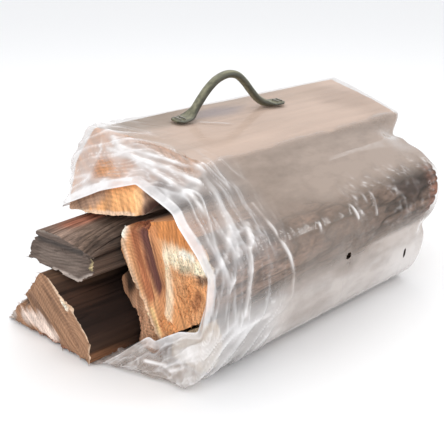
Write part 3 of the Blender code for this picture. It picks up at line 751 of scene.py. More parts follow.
def make_splinters(name, spots, tints, columns):
    """Three-sided spikes: base + way * length, where way leans from the grain out of the end."""
    plan, seed = END_PLANS[name], LOG_STYLES[name]["seed"]
    rng = np.random.default_rng(seed)
    count = plan["splinters"]
    weight = torn_share(spots[:, 1:], plan) + 0.01
    weight[-3 * columns:] += RIM_WEIGHT
    pick = rng.choice(len(spots), count, p=weight / weight.sum())
    length = rng.uniform(*SPLINTER_LENGTH, count) * (1 + FEW_LONGER * rng.random(count) ** 6)
    thick = rng.uniform(*SPLINTER_THICK, count)
    angle = plan["grain"] + rng.normal(0, SPLINTER_SPREAD, count)
    angle = angle + math.pi * rng.integers(0, 2, count)
    lean = rng.uniform(*SPLINTER_LEAN, count)
    way = unit(np.column_stack((-lean, np.cos(angle), np.sin(angle))))
    side = unit(np.cross(way, (1.0, 0.0, 0.0)))
    third = np.cross(way, side)
    turn = 2 * math.pi * np.arange(3) / 3
    ring = (side[:, None] * np.cos(turn)[:, None] + third[:, None] * np.sin(turn)[:, None])
    base = spots[pick] - ROOT_DEPTH * way
    corners = base[:, None] + ring * thick[:, None, None]
    tips = (base + way * length[:, None])[:, None]
    all_spots = np.concatenate((corners, tips), axis=1).reshape(-1, 3)
    all_spots[:, 2] = np.maximum(all_spots[:, 2], OVER_FLOOR)
    first = 4 * np.arange(count)[:, None, None]
    faces = (first + np.array(((0, 1, 3), (1, 2, 3), (2, 0, 3), (0, 2, 1)))).reshape(-1, 3)
    lighter = np.clip(tints[pick] * rng.uniform(0.9, 1.5, (count, 1)), 0, 1)
    marks = {label: np.full(4 * count, value) for label, value in
             (("end", 1.0), ("bark", 0.0), ("depth", 0.0), ("torn", 0.0))}
    made = make_mesh(name + "_splinters", to_frame(all_spots), np.zeros((0, 4), int), faces,
                     np.repeat(lighter, 4, axis=0), marks)
    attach(made, "root")
    return made


print("splinters in all:", sum(plan["splinters"] for plan in END_PLANS.values()))

# %% The logs themselves
BARK_MOTTLE_CELLS = (30, 12, 12)


def log_colours(name, spots, end, bark, near):
    """Colour of each point: the painted side, changed into bark and into the end by its marks."""
    seed = LOG_STYLES[name]["seed"]
    side = paint(spots, *LOG_COLOURS[name], seed)
    mottle = 1 + 0.4 * layered(spots, BARK_MOTTLE_CELLS, 3, seed + 4)
    skin = np.array(BARK_BROWN) * mottle[:, None]
    skin = paint(spots, skin, BARK_PATCHES.get(name, []), 0.2, seed + 8)
    side = side + (skin - side) * bark[:, None]
    face = end_colours(spots[:, 1:], END_PLANS[name], near, seed + 9)
    return side + (face - side) * end[:, None]


def make_log(name):
    """One log as a closed mesh that stands in for the plain one in the frame, and its splinters."""
    points, end, bark, dark, near = log_grid(name)
    rows, columns = points.shape[:2]
    spots = points.reshape(-1, 3)
    tint = log_colours(name, spots, end, bark, near)
    torn = torn_share(spots[:, 1:], END_PLANS[name]) * end * near
    centres = np.stack((points[0].mean(axis=0), points[-1].mean(axis=0)))
    spots = np.vstack((spots, centres))
    tint = np.vstack((tint, tint[[0, (rows - 1) * columns]]))
    # the depth mark holds painted shade: how far the colour darkens in grooves and furrows
    marks = {"end": np.append(end, (1, 1)), "bark": np.append(bark * (1 - end), (0, 0)),
             "depth": np.append(dark * (1 - end), (0, 0)), "torn": np.append(torn, (0, 0))}
    log = make_mesh(name + "_wood", to_frame(spots), grid_faces(rows, columns),
                    end_fans(rows, columns), tint, marks)
    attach(log, "root")
    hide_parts(name)
    near_end = CAP_ROWS * columns
    return log, make_splinters(name, spots[:near_end], tint[:near_end], columns)


logs = {name: make_log(name) for name in LOG_OUTLINES}
for name, (log, _) in logs.items():
    print(name, len(log.data.vertices), "points and", END_PLANS[name]["splinters"], "splinters")

# %% [markdown]
# ## Materials from nodes
#
# A material is a small graph. One helper adds a node, sets its inputs and links what it is given,
# so that the graphs below read from top to bottom like formulas.

# %% A helper for node graphs
def new_material(name):
    """An empty node material, with its tree and its Principled shader."""
    material = bpy.data.materials.new(name)
    material.use_nodes = True
    tree = material.node_tree
    return material, tree, tree.nodes["Principled BSDF"]


def add(tree, kind, inputs=None, **settings):
    """A new node: settings are its own options, inputs are values or outputs to link."""
    made = tree.nodes.new("ShaderNode" + kind)
    for key, value in settings.items():
        setattr(made, key, value)
    for key, value in (inputs or {}).items():
        if isinstance(value, bpy.types.NodeSocket):
            tree.links.new(value, made.inputs[key])
        else:
            made.inputs[key].default_value = value
    return made


def stretched_noise(tree, scale, detail=4.0, rough=0.6, turn=0.0):
    """Noise on Object coordinates, with its own number of cells a metre along each axis.

    A turn round x comes first, so that the long cells point along the grain of an end.
    """
    place = add(tree, "TexCoord").outputs["Object"]
    cell = [1 / per_metre for per_metre in scale]
    mapped = add(tree, "Mapping", {"Vector": place, "Scale": cell, "Rotation": (turn, 0, 0)},
                 vector_type="TEXTURE")
    made = add(tree, "TexNoise", {"Vector": mapped.outputs[0], "Scale": 1.0, "Detail": detail,
                                  "Roughness": rough})
    return made.outputs["Fac"]


def remap(tree, value, low, high, to_low, to_high):
    """A value's range low..high turned into to_low..to_high, and held inside it."""
    made = add(tree, "MapRange", {"Value": value, "From Min": low, "From Max": high,
                                  "To Min": to_low, "To Max": to_high})
    return made.outputs["Result"]


def noise_range(tree, noise_value, to_low, to_high):
    """A noise's usual range 0.3..0.7 turned into to_low..to_high."""
    return remap(tree, noise_value, 0.3, 0.7, to_low, to_high)


def maths(tree, operation, first, second):
    """One arithmetic step on two values."""
    return add(tree, "Math", {0: first, 1: second}, operation=operation).outputs[0]


def multiply_colour(tree, colour, factor):
    """A colour times a grey value."""
    made = add(tree, "VectorMath", {0: colour, "Scale": factor}, operation="SCALE")
    return made.outputs["Vector"]


def mix_colour(tree, factor, first, second):
    """Two colours mixed by a factor."""
    made = add(tree, "Mix", {0: factor, 6: first, 7: second}, data_type="RGBA")
    return made.outputs[2]


def mix_value(tree, factor, first, second):
    """Two numbers mixed by a factor."""
    made = add(tree, "Mix", {0: factor, 2: first, 3: second}, data_type="FLOAT")
    return made.outputs[0]


def read_mark(tree, label):
    """A number that the mesh holds at each point."""
    return add(tree, "Attribute", attribute_name=label).outputs["Fac"]


print("helpers are ready")

# %% [markdown]
# ## Wood
#
# The mesh already brings a soft colour for each place. The material adds what is finer than the
# mesh: light and dark fibres along x on split faces, growth rings and saw marks on the ends, and
# crumbs on bark. The three are mixed by the marks on the mesh, so one material covers a log.

# %% Wood material
RING_WIDTH = 3.4                            # mm
RING_TONES = (0.86, 1.06)


def split_tone(tree, fine, fibre):
    """Fibres of a split face: fine times coarse, each with the root of the whole contrast."""
    coarse = stretched_noise(tree, (6, 130, 130), 4, 0.6)
    dark, light = fibre[0] ** 0.5, fibre[1] ** 0.5
    return maths(tree, "MULTIPLY", noise_range(tree, fine, dark, light),
                 noise_range(tree, coarse, dark, light))


def sawn_tone(tree, torn, pith, grain):
    """Growth rings round the pith, streaks along the grain, and specks where the end is torn."""
    place = add(tree, "TexCoord").outputs["Object"]
    centre = to_frame((0.0, *pith))
    centred = add(tree, "Mapping", {"Vector": place, "Location": (0.0, -centre[1], -centre[2])})
    rings = add(tree, "TexWave", {"Vector": centred.outputs[0],
                                  "Scale": math.pi / (10 * RING_WIDTH * MM), "Distortion": 5.0,
                                  "Detail": 4.0, "Detail Scale": 0.7, "Detail Roughness": 0.7},
                wave_type="RINGS", rings_direction="X")
    speckle = stretched_noise(tree, (520, 520, 520), 4, 0.7)
    streak = stretched_noise(tree, (60, 26, 330), 5, 0.65, turn=grain)
    specks = remap(tree, speckle, 0.34, 0.5, 0.5, 1.15)
    flecks = mix_value(tree, torn, noise_range(tree, speckle, 0.88, 1.1), specks)
    return maths(tree, "MULTIPLY", remap(tree, rings.outputs["Fac"], 0, 1, *RING_TONES),
                 maths(tree, "MULTIPLY", flecks, noise_range(tree, streak, 0.66, 1.3)))


def wood_material(name, pith, grain, fibre):
    """Split, sawn and bark finishes in one graph, mixed by the mesh's own marks."""
    material, tree, shader = new_material(name)
    tint = add(tree, "Attribute", attribute_name="tint").outputs["Color"]
    end, bark, depth, torn = (read_mark(tree, label) for label in ("end", "bark", "depth", "torn"))
    fine = stretched_noise(tree, (14, 520, 520), 5, 0.7)
    crumbs = stretched_noise(tree, (90, 240, 240), 6, 0.7)
    crust = remap(tree, crumbs, 0.3, 0.72, 0.28, 1.7)
    side = mix_value(tree, bark, split_tone(tree, fine, fibre), crust)
    tone = mix_value(tree, end, side, sawn_tone(tree, torn, pith, grain))
    # painted shade: the grooves and bark furrows are darkened by the depth mark
    shade = remap(tree, depth, 0.15, 1.0, 1.0, 0.22)
    colour = multiply_colour(tree, tint, maths(tree, "MULTIPLY", tone, shade))
    tree.links.new(colour, shader.inputs["Base Color"])
    tree.links.new(noise_range(tree, fine, 0.72, 0.95), shader.inputs["Roughness"])
    shader.inputs["Specular IOR Level"].default_value = 0.25
    bump = add(tree, "Bump", {"Height": tone, "Strength": 0.5, "Distance": 0.0009})
    tree.links.new(bump.outputs[0], shader.inputs["Normal"])
    return material


LOG_SLOTS = {"top_log": "peach_split_wood", "grey_slab": "weathered_grey_wood",
             "lower_left_log": "tan_sawn_wood", "middle_log": "dark_brown_wood",
             "right_log": "bright_orange_wood", "lower_right_log": "pale_yellow_wood",
             "back_left_log": "brown_bark_wood"}
PLAIN_FIBRES = (0.6, 1.35)
FIBRE_CONTRASTS = {"top_log": (0.93, 1.04), "grey_slab": (0.28, 2.3), "middle_log": (0.5, 1.5)}
for name, pieces in logs.items():
    finish = wood_material(LOG_SLOTS[name], LOG_STYLES[name]["pith"], END_PLANS[name]["grain"],
                           FIBRE_CONTRASTS.get(name, PLAIN_FIBRES))
    for piece in pieces:
        piece.data.materials.append(finish)
print(len(logs), "wood materials")

# %% [markdown]
# ## The film's section and its two open ends
#
# Shrink film pulls itself into the tightest loop round the logs: the convex outline of all their
# corners. Past the log ends nothing holds it out, so it turns inwards there along a fold and ends
# in a free rim, which shrank into a smaller mouth. The fold and the rim are lists of places that
# go round the sleeve.

# %% Fold and rim lines, as (x, y, z) in the pile's millimetres
FILM_OFFSET = 0.9
NEAR_FOLD = [(4, 236, 0), (40, 236, 22), (62, 229, 70), (66, 214, 121), (45, 211, 136),
             (24, 207, 158), (17, 203, 172), (35, 190, 214), (46, 118, 207), (63, 44, 194.5),
             (32, 10, 173), (2, -30, 149), (-4, -42, 128), (-5, -43.5, 102), (-4, -34, 48),
             (-6, -24, 18), (-10, -5, 0), (-13, 6, 0), (-22, 26, 0), (-30, 50, 0), (-36, 72, 0),
             (-36, 84, 0), (-34, 92, 0), (-28, 150, 0)]
NEAR_RIM = [(-6, 236, 0.4), (30, 236, 22), (52, 229, 70), (50, 216.5, 112), (38, 208, 124),
            (2, 194, 131), (-5, 189, 132), (-4, 184, 137), (12, 138, 160), (28, 100, 172),
            (24, 74, 168), (14, 32, 165), (8, 20, 166), (1, 5, 160), (-2, -24, 140),
            (-2, -38, 124), (-2, -35, 98), (-1, -22, 64), (0, 5, 54), (0, 26, 40),
            (0, 43, 27.5), (0, 52, 30), (-14, 62, 20), (-27, 70, 11), (-36, 77, 6),
            (-43, 83, 0.7), (-47, 92, 0.4), (-43, 150, 0.4)]
FAR_FOLD = [(404, 236, 0), (408, 236, 22), (412, 229, 70), (428, 216, 112), (455, 212, 126),
            (457, 203, 172), (456, 190, 214), (433, 118, 207), (409, 44, 194.5), (381, 31, 182),
            (384, 10, 173), (382, -30, 149), (378, -42, 128), (371, -43.5, 102), (362, -39, 76),
            (362, -34, 48), (357, -24, 18), (358, -5, 0), (390, 50, 0), (404, 150, 0)]
# Where the far fold is drawn in between the logs: (y, z) on the section, how far, and its spread
FAR_DRAWS = [(29, 176, 15, 11), (8, 170, 6, 12), (-39, 76, 7, 10)]
FAR_RIM = [(409, 176, 46), (411, 186, 70), (421, 186, 108), (449, 188, 122), (452, 174, 140),
           (448, 158, 152), (443, 146, 160), (432, 110, 162), (417, 60, 156), (390, 20, 142),
           (383, 6, 118), (382, 4, 96), (381, 14, 62), (390, 40, 44), (396, 90, 34),
           (402, 140, 34)]
SLEEVE_HEART = np.array((100.0, 92.0))
SLEEVE_NEAR, SLEEVE_FAR = 130.0, 336.0
FILM_COLUMNS = 400
# Air holes in the right side, as the (x, z) of the middle and the reach in x and z
AIR_HOLES = [((203, 84), (4.4, 4.2)), ((322, 50), (2.3, 6.3))]
print(len(NEAR_RIM), "places on the mouth's rim")

# %% The taut outline round all logs
HULL_STEPS, TURN_STEPS = 1440, 720          # directions round the sleeve
OUTLINE_POINTS = 240


def convex_outline(points):
    """The convex outline of (y, z) points: for each direction, the point that reaches furthest."""
    turn = np.linspace(0, 2 * math.pi, HULL_STEPS, endpoint=False)
    ways = np.column_stack((np.cos(turn), np.sin(turn)))
    furthest = np.argmax(points @ ways.T, axis=0)
    keep = furthest != np.roll(furthest, 1)
    return points[furthest[keep]]


def by_angle(line):
    """Angle round the sleeve's heart of each point of a line, and the line in that order."""
    line = np.asarray(line, float)
    flat = line[:, -2:] - SLEEVE_HEART
    angle = np.arctan2(flat[:, 1], flat[:, 0]) % (2 * math.pi)
    order = np.argsort(angle)
    return angle[order], line[order]


def at_angles(line, angles, blur=0.0):
    """A closed line read at the given angles, its corners blurred over some degrees."""
    own, ordered = by_angle(line)
    steps = np.linspace(0, 2 * math.pi, TURN_STEPS, endpoint=False)
    even = np.column_stack([np.interp(steps, own, column, period=2 * math.pi)
                            for column in ordered.T])
    if blur:
        waves = np.fft.rfftfreq(TURN_STEPS, 1 / TURN_STEPS)
        fade = np.exp(-0.5 * (waves * math.radians(blur)) ** 2)[:, None]
        even = np.fft.irfft(np.fft.rfft(even, axis=0) * fade, TURN_STEPS, axis=0)
    return np.column_stack([np.interp(angles, steps, column, period=2 * math.pi)
                            for column in even.T])


outlines = [rounded_outline(corners, OUTLINE_POINTS) for corners in LOG_OUTLINES.values()]
section = spread_evenly(convex_outline(np.vstack(outlines)), FILM_COLUMNS)
section = section + FILM_OFFSET * outward(section)
section = by_angle(section)[1]
section_angles = by_angle(section)[0]
around = np.linalg.norm(section - np.roll(section, 1, axis=0), axis=1)
print("film round the bundle:", round(float(around.sum())), "mm")

# %% [markdown]
# ## The film before it wrinkles
#
# A shrunk sleeve is smooth where it is taut. Its grid starts at the free rim, goes out to the fold,
# turns there in a small arc and then runs straight along the logs to the other end. A cloth
# simulation could shrink it too, but rows between named lines can be moved one place at a time.

# %% The film's rows
NEAR_ROWS, NEAR_SKIRT, MIDDLE_ROWS, FAR_SKIRT, FAR_ROWS = 40, 72, 62, 14, 24
FOLD_RADIUS = 3.5
FOLD_BLUR, RIM_BLUR = 2.0, 1.2              # degrees round the sleeve


def drawn_in(line):
    """The section pulled towards the heart by far * e^(-(gap/spread)^2) at each drawn place."""
    heart = unit(SLEEVE_HEART - line)
    moved = line.copy()
    for y, z, far, spread in FAR_DRAWS:
        gap = np.linalg.norm(line - (y, z), axis=1)
        moved = moved + heart * (far * np.exp(-(gap / spread) ** 2))[:, None]
    return moved


def middle_places():
    """The x of the straight rows, closer together at the air holes."""
    even = np.linspace(SLEEVE_NEAR, SLEEVE_FAR, MIDDLE_ROWS)[1:-1]
    near_holes = [x + reach * np.linspace(-1.4, 1.4, 8) for (x, _), (reach, _) in AIR_HOLES]
    return np.sort(np.concatenate([even, *near_holes]))


def turned_end(rim, fold, straight, rim_rows, skirt_rows):
    """Rows from a free rim to the straight part, with a small arc where the film turns."""
    back, onward = rim - fold, straight - fold
    reach = [np.minimum(FOLD_RADIUS, 0.4 * np.linalg.norm(way, axis=1))[:, None]
             for way in (back, onward)]
    start, end = fold + unit(back) * reach[0], fold + unit(onward) * reach[1]
    s = np.linspace(0, 1, rim_rows)[:, None, None]
    t = np.linspace(0, 1, 6)[1:-1, None, None]
    u = np.linspace(0, 1, skirt_rows)[:, None, None]
    ease = u * u * (3 - 2 * u)
    u = np.concatenate((u, ease, ease), axis=2)
    arc = (1 - t) ** 2 * start + 2 * t * (1 - t) * fold + t * t * end
    return np.vstack((rim + (start - rim) * s, arc, end + (straight - end) * u))


def film_grid():
    """The unwrinkled film: both turned ends, and straight rows along the logs between them."""
    near_x = at_angles(NEAR_FOLD, section_angles, FOLD_BLUR)[:, 0]
    near_fold = np.column_stack((near_x, section))
    far_x = at_angles(FAR_FOLD, section_angles, FOLD_BLUR)[:, 0]
    far_fold = np.column_stack((far_x, drawn_in(section)))
    near_rim = at_angles(NEAR_RIM, section_angles, RIM_BLUR)
    far_rim = at_angles(FAR_RIM, section_angles, FOLD_BLUR)
    near_straight = np.column_stack((np.full(FILM_COLUMNS, SLEEVE_NEAR), section))
    far_straight = np.column_stack((np.full(FILM_COLUMNS, SLEEVE_FAR), section))
    near = turned_end(near_rim, near_fold, near_straight, NEAR_ROWS, NEAR_SKIRT)
    far = turned_end(far_rim, far_fold, far_straight, FAR_ROWS, FAR_SKIRT)[::-1]
    share = (middle_places() - SLEEVE_NEAR) / (SLEEVE_FAR - SLEEVE_NEAR)
    middle = near_straight + (far_straight - near_straight) * share[:, None, None]
    return np.vstack((near, middle, far))


def grid_normals(grid):
    """Unit normals of a grid of rings, from the differences to its neighbours both ways."""
    round_way = np.roll(grid, -1, axis=1) - np.roll(grid, 1, axis=1)
    long_way = np.gradient(grid, axis=0)
    return unit(np.cross(round_way, long_way) + 1e-9)


def along_rows(grid):
    """How far each point lies from the mouth's rim, measured over the film."""
    steps = np.linalg.norm(np.diff(grid, axis=0), axis=2)
    return np.vstack((np.zeros((1, grid.shape[1])), np.cumsum(steps, axis=0))).ravel()


sleeve = film_grid()
print("film grid:", sleeve.shape[0], "rows of", sleeve.shape[1], "points")

# %% [markdown]
# ## Folds and creases
#
# The film bunches up near its mouth. Each crease is a line of places on the film. A point of the
# film is lifted by height times e^(-(distance/width)^2), and the same falloff makes the film
# whiter there: partly because a crease holds several layers, and partly as a painted highlight,
# the glint of light along the crease. Finer folds are the sharp ridges of a noise field,
# (1 - |noise|)^power, with long cells round the sleeve and short ones along it. They fade out
# where the film is taut.

# %% Creases as (places, width, height, whiteness)
CREASES = [
    ([(2, 180, 148), (12, 156, 160), (18, 137, 166)], 7.0, 0.3, 0.5),
    ([(5, 177, 164), (19, 131, 172), (27, 108, 176)], 1.8, 0.8, 0.7),
    ([(38, 166, 208), (30, 158, 196), (20, 160, 184)], 1.4, 0.8, 0.5),
    ([(149, 137, 208.5), (176, 117, 206)], 1.5, 0.4, 0.55),
    ([(90, -4, 164), (90, -19, 155), (89, -40, 138), (101, -42, 117), (112, -42, 93),
      (114, -38, 68), (102, -36, 55), (83, -35, 49)], 2.1, 1.8, 0.95),
    ([(52, -37, 58), (82, -36, 56)], 1.8, 1.4, 0.9),
    ([(66, -20, 154), (64, -24, 152), (48, -40, 136), (46, -43, 110), (46, -39, 71)],
     3.4, 2.4, 0.75),
    ([(39, -23, 152), (19, -39, 139), (5, -40, 132), (-3, -33, 101)], 2.6, 2.0, 0.6),
    ([(24, -42, 117), (15, -44, 103), (1, -41, 84)], 2.0, 1.6, 0.6),
    ([(45, 175, 213), (38, 136, 200), (40, 107, 193), (47, 76, 190), (50, 50, 187),
      (50, 29, 184)], 3.4, 2.2, 0.55),
    ([(33, 151, 198), (38, 120, 195), (40, 89, 187), (40, 61, 181), (36, 28, 176),
      (29, -1, 166)], 3.0, 2.0, 0.5),
    ([(40, 151, 209), (38, 134, 201), (44, 111, 200), (50, 87, 198), (57, 58, 194),
      (66, 38, 191)], 2.4, 1.6, 0.55),
    # The short creases from here on, on the right side, at the air hole and on the lip, are real
    # wrinkles, and their whiteness is a painted highlight: the glint of a lamp on each.
    ([(220, -18, 156), (206, -33, 147), (204, -36, 144), (212, -41, 126)], 2.0, 1.6, 0.9),
    ([(222, -22, 153), (214, -39, 138), (220, -41, 127)], 1.4, 1.4, 0.75),
    ([(232, -26, 151), (231, -38, 138)], 1.2, 1.4, 0.5),
    ([(244, -31, 147), (245, -42, 122)], 1.6, 1.8, 0.6),
    ([(285, -34, 145), (288, -42, 118)], 1.3, 1.4, 0.45),
    ([(330, -36, 138), (338, -43, 108)], 1.3, 1.4, 0.4),
    ([(150, -38, 137), (152, -42, 126)], 1.3, 1.2, 0.5),
    ([(214, -43, 80), (212, -43, 87)], 1.4, 0.8, 0.8),
    ([(-14, 40, 12), (-10, 28, 13), (-6, 16, 15)], 2.0, 1.2, 0.9),
    ([(-7, 9, 12), (-4, -6, 21)], 2.4, 1.0, 0.9),
    ([(-15, 15, 5), (-10, 6, 7)], 1.6, 0.8, 0.8),
    ([(-17, 63, 15), (-15, 58, 16)], 1.4, 1.0, 0.7),
]
print(len(CREASES), "creases, with", sum(len(line) for line, *_ in CREASES), "places")

# %% Folds and creases on the grid
MOUTH_SPAN = (62, 118)                      # x where the folds of the mouth fade out
LIP_SPANS = ((-12, 6), (26, 46))            # x and z where the lip on the floor fades out
BUNCH_PLACE, BUNCH_REACH = (55, -32, 146), (24, 26, 14)


def ridges(across, turns, cells, seed):
    """Long thin folds: 1 - |noise| on (place across the folds, place on a ring round them)."""
    ring = around.sum() / (2 * math.pi)
    spots = np.column_stack((across, ring * np.cos(turns), ring * np.sin(turns)))
    return np.clip(1 - np.abs(1.5 * layered(spots, cells, 2, seed)), 0, 1)


def random_folds(spots, from_rim, turns, mouth, lip):
    """Lift in mm and whiteness of the folds.

    Broad and fine folds run round the mouth, tight hoops run round the back of the low side, and
    crumples, (1 - |noise|)^power, fill the lip and one bunched place beside the mouth.
    """
    x, y, z = spots.T
    wander = from_rim + 9 * layered(spots, (70, 60, 60), 2, 5)
    broad = ridges(wander, turns, (20, 150, 150), 83)
    fine = ridges(wander + 0.2 * z, turns, (8, 85, 85), 29)
    low_side = smooth_step(-y, -10, 34) * (1 - smooth_step(z, 150, 166))
    back = low_side * smooth_step(x, 190, 250) * smooth_step(z, 84, 110)
    hoops = ridges(x + 0.25 * z + 7 * layered(spots, (40, 30, 30), 2, 44), turns, (9, 40, 40), 61)
    crumple = 1 - np.abs(layered(spots, (17, 17, 17), 3, 71))
    bunched = np.exp(-np.linalg.norm((spots - BUNCH_PLACE) / BUNCH_REACH, axis=1) ** 2)
    bunched = np.maximum(bunched, lip)
    lift = mouth * (2.4 * broad ** 5 + 0.9 * fine ** 4) + 1.1 * back * hoops ** 5
    lift = lift + 2.4 * bunched * crumple ** 4 + 0.45 * low_side * hoops ** 3
    folds = mouth * (0.5 * broad ** 12 + 0.35 * fine ** 14) + 0.5 * back * hoops ** 22
    # the crumples' whiteness is painted highlight: glints on the crumpled film
    return lift, folds + 0.5 * bunched * crumple ** 7


def add_creases(spots, lift, milk, white):
    """Each crease adds its height to the lift and its whiteness to the milk."""
    uneven = 0.85 + 0.35 * layered(spots, (12, 12, 12), 2, 19)
    for line, width, height, strength in CREASES:
        share = np.exp(-(distance_to_line(spots, line) / width) ** 2)
        share = share * uneven
        lift = lift + height * share
        milk = milk + strength * share
        white = np.maximum(white, share)
    return lift, milk, white


print("folds run from x =", MOUTH_SPAN[1], "mm to the mouth")

# %% [markdown]
# ## Haze and whiteness
#
# Shrink film isn't clear all over. It is hazy where it was stretched or lies double, white along
# sharp folds and at the rim, and clear where it lies tight on bark. Two numbers for each point
# hold that: how milky the film is, and how white its milk is. A texture could hold them too, but
# numbers on the mesh need no unwrapping.

# %% How milky and how white each place is
RIM_BAND = 9.5
AIR_GAP_HEIGHTS = ((167, 20), (78, 10))     # z and reach of the two gaps that the film spans
WINDOW_PLACE, WINDOW_REACH = (22, 146, 180), (40, 13, 11)


def taut_haze(spots, mouth):
    """Milk and whiteness of the taut film, and the cloudy noise in them.

    The broad face at the upper right is hazy, and part of its milk is a painted reflection of the
    bright surroundings on the taut film. The low side near the floor is hazy too, and its white is
    partly a painted highlight, a soft band of reflected light. The back of the low side is clear,
    so that the dark bark shows, and the far gaps between logs are filled.
    """
    x, y, z = spots.T
    wavy = y + 9 * layered(np.column_stack((x, 0 * y, 0 * z)), (34, 9, 9), 2, 12)
    # facet is the broad taut face; its milk is partly a painted reflection of the bright
    # surroundings
    facet = smooth_step(-wavy, -50, -44) * smooth_step(z, 140, 156)
    low_side = smooth_step(-y, -10, 34) * (1 - facet)
    floor_side = (1 - smooth_step(z, 55, 105)) * smooth_step(-y, -60, 20)
    dark_back = smooth_step(x, 205, 310) * smooth_step(z, 86, 118) * (1 - smooth_step(z, 150, 166))
    cloud = layered(spots, (80, 34, 34), 3, 91)
    haze = 0.25 * low_side * (1 - 0.8 * dark_back) * (1 - 0.7 * mouth)
    milk = 0.18 + 0.62 * facet + haze + 0.55 * floor_side * (1 - 0.3 * mouth)
    milk = milk * (1 - 0.75 * dark_back) * (1 + 0.2 * cloud) * (1 - 0.4 * mouth * facet)
    (upper, upper_reach), (lower, lower_reach) = AIR_GAP_HEIGHTS
    gaps = np.exp(-((z - upper) / upper_reach) ** 4) * smooth_step(x, 150, 210)
    gaps = gaps + np.exp(-((z - lower) / lower_reach) ** 4) * smooth_step(x, 215, 270)
    gaps = gaps * smooth_step(-y, -50, -30)
    milk = milk + (1.0 - milk) * np.clip(gaps, 0, 1)
    # white near the floor is partly painted highlight, a soft band of reflected light
    white = np.clip(0.4 * floor_side + 0.3 * mouth + 0.25 * cloud * low_side, 0, 1)
    return milk, white, cloud


def veil_over_end(spots, cloud):
    """Share and milk of the doubled film over the top log's end, with a clearer window in it."""
    x, y, z = spots.T
    share = (1 - smooth_step(x, 44, 62)) * smooth_step(z, 126, 142) * smooth_step(y, 10, 34)
    window = np.exp(-np.linalg.norm((spots - WINDOW_PLACE) / WINDOW_REACH, axis=1) ** 4)
    return share, (0.50 + 0.45 * cloud - 0.15 * smooth_step(y, 156, 172)) * (1 - 0.85 * window)


def rim_band(from_rim):
    """Milk of the thick band along the rim, with a bright line at each of its edges."""
    band = 0.68 * (1 - smooth_step(from_rim, RIM_BAND - 1.5, RIM_BAND + 1.5))
    band = band + 0.4 * np.exp(-(from_rim / 1.4) ** 2)
    return band + 0.16 * np.exp(-((from_rim - RIM_BAND) / 1.2) ** 2)


def milk_and_white(spots, from_rim, folds, mouth, lip):
    """How milky the film is, and how white its milk, from 0 (beige haze) to 1."""
    milk, white, cloud = taut_haze(spots, mouth)
    over_end, veil = veil_over_end(spots, cloud)
    milk = milk + (veil - milk) * over_end
    white = np.maximum(white, 0.62 * over_end)
    band = rim_band(from_rim)
    milk = np.maximum(milk + 0.5 * folds, band + 0.3 * folds)
    milk = milk + (0.5 - milk) * 0.6 * lip
    white = np.maximum(white, 1.6 * band) * (1 - 0.85 * lip)
    return milk, np.clip(white + 1.2 * folds, 0, 1)


print("milk on the rim itself:", round(float(rim_band(np.zeros(1))[0]), 2))

# %% [markdown]
# ## The wrinkled sleeve
#
# Folds only lift the film outwards along its normals, so that it keeps clear of the logs. For an
# air hole, the points inside it move out to its edge and the faces between them are left out.
# That gives an even edge, which a cut through the mesh would not.

# %% The sleeve
RIM_FADE = 8
LIP_RISE = 1.6
FILM_OVER_FLOOR = 0.15


def lifted(spots, normals, lift, from_rim, lip):
    """Points moved out by their lift, by less at the rim, and never down into the floor."""
    z = spots[:, 2]
    fade = smooth_step(from_rim, 0, RIM_FADE)
    on_floor = smooth_step(z, 0.5, 6.0) + lip
    flat_lip = (lip > 0.5) & (z < 3)
    away = np.where(flat_lip[:, None], (0.0, 0.0, LIP_RISE), normals)
    moved = spots + away * (lift * (0.2 + 0.8 * fade) * np.clip(on_floor, 0, 1))[:, None]
    moved[:, 2] = np.maximum(moved[:, 2], FILM_OVER_FLOOR)
    return moved


def punch(spots, quads):
    """Opens the air holes: points inside move out to the edge, faces inside are left out."""
    hole = np.zeros(len(spots), bool)
    for middle, reach in AIR_HOLES:
        off = (spots[:, ::2] - middle) / reach
        far = np.linalg.norm(off, axis=1)
        inside = (far < 1) & (spots[:, 1] < 0)
        out = off / np.maximum(far, 1e-6)[:, None] * reach + middle
        spots[inside, 0], spots[inside, 2] = out[inside].T
        hole |= inside
    return quads[~hole[quads].all(axis=1)]


def make_film(grid):
    """The wrinkled sleeve, with marks for how milky and how white the film is."""
    normals = grid_normals(grid)
    middle = normals[len(grid) // 2]
    if (middle[:, 1:] * (section - SLEEVE_HEART)).sum() < 0:
        normals = -normals
    rows, columns = grid.shape[:2]
    spots = grid.reshape(-1, 3)
    from_rim = along_rows(grid)
    mouth = 1 - smooth_step(spots[:, 0], *MOUTH_SPAN)
    lip = 1 - smooth_step(spots[:, 0], *LIP_SPANS[0])
    lip = lip * (1 - smooth_step(spots[:, 2], *LIP_SPANS[1]))
    lift, folds = random_folds(spots, from_rim, np.tile(section_angles, rows), mouth, lip)
    milk, white = milk_and_white(spots, from_rim, folds, mouth, lip)
    lift, milk, white = add_creases(spots, lift, milk, white)
    spots = lifted(spots, normals.reshape(-1, 3), lift, from_rim, lip)
    faces = punch(spots, grid_faces(rows, columns))
    film = make_mesh("shrink_film_skin", to_frame(spots), faces,
                     marks={"milk": np.clip(milk, 0.05, 1.0), "white": white})
    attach(film, "root")
    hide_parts("shrink_film")
    return film


film = make_film(sleeve)
print("film:", len(film.data.polygons), "faces")

# %% [markdown]
# ## Clear film
#
# Clean film hardly shows but for its gloss. Haze, dust and doubled layers scatter the light, and
# look beige over wood and white in a crease. Part of the milk and white is painted light: glints
# on the creases and crumples, and a reflection on the broad taut face. True refraction is slow and
# noisy in such a thin sheet, so alpha mixes clear and milky film here, and a clear coat gives the
# gloss.

# %% Film material
BEIGE, WHITE = (0.335, 0.25, 0.194, 1), (0.90, 0.88, 0.88, 1)


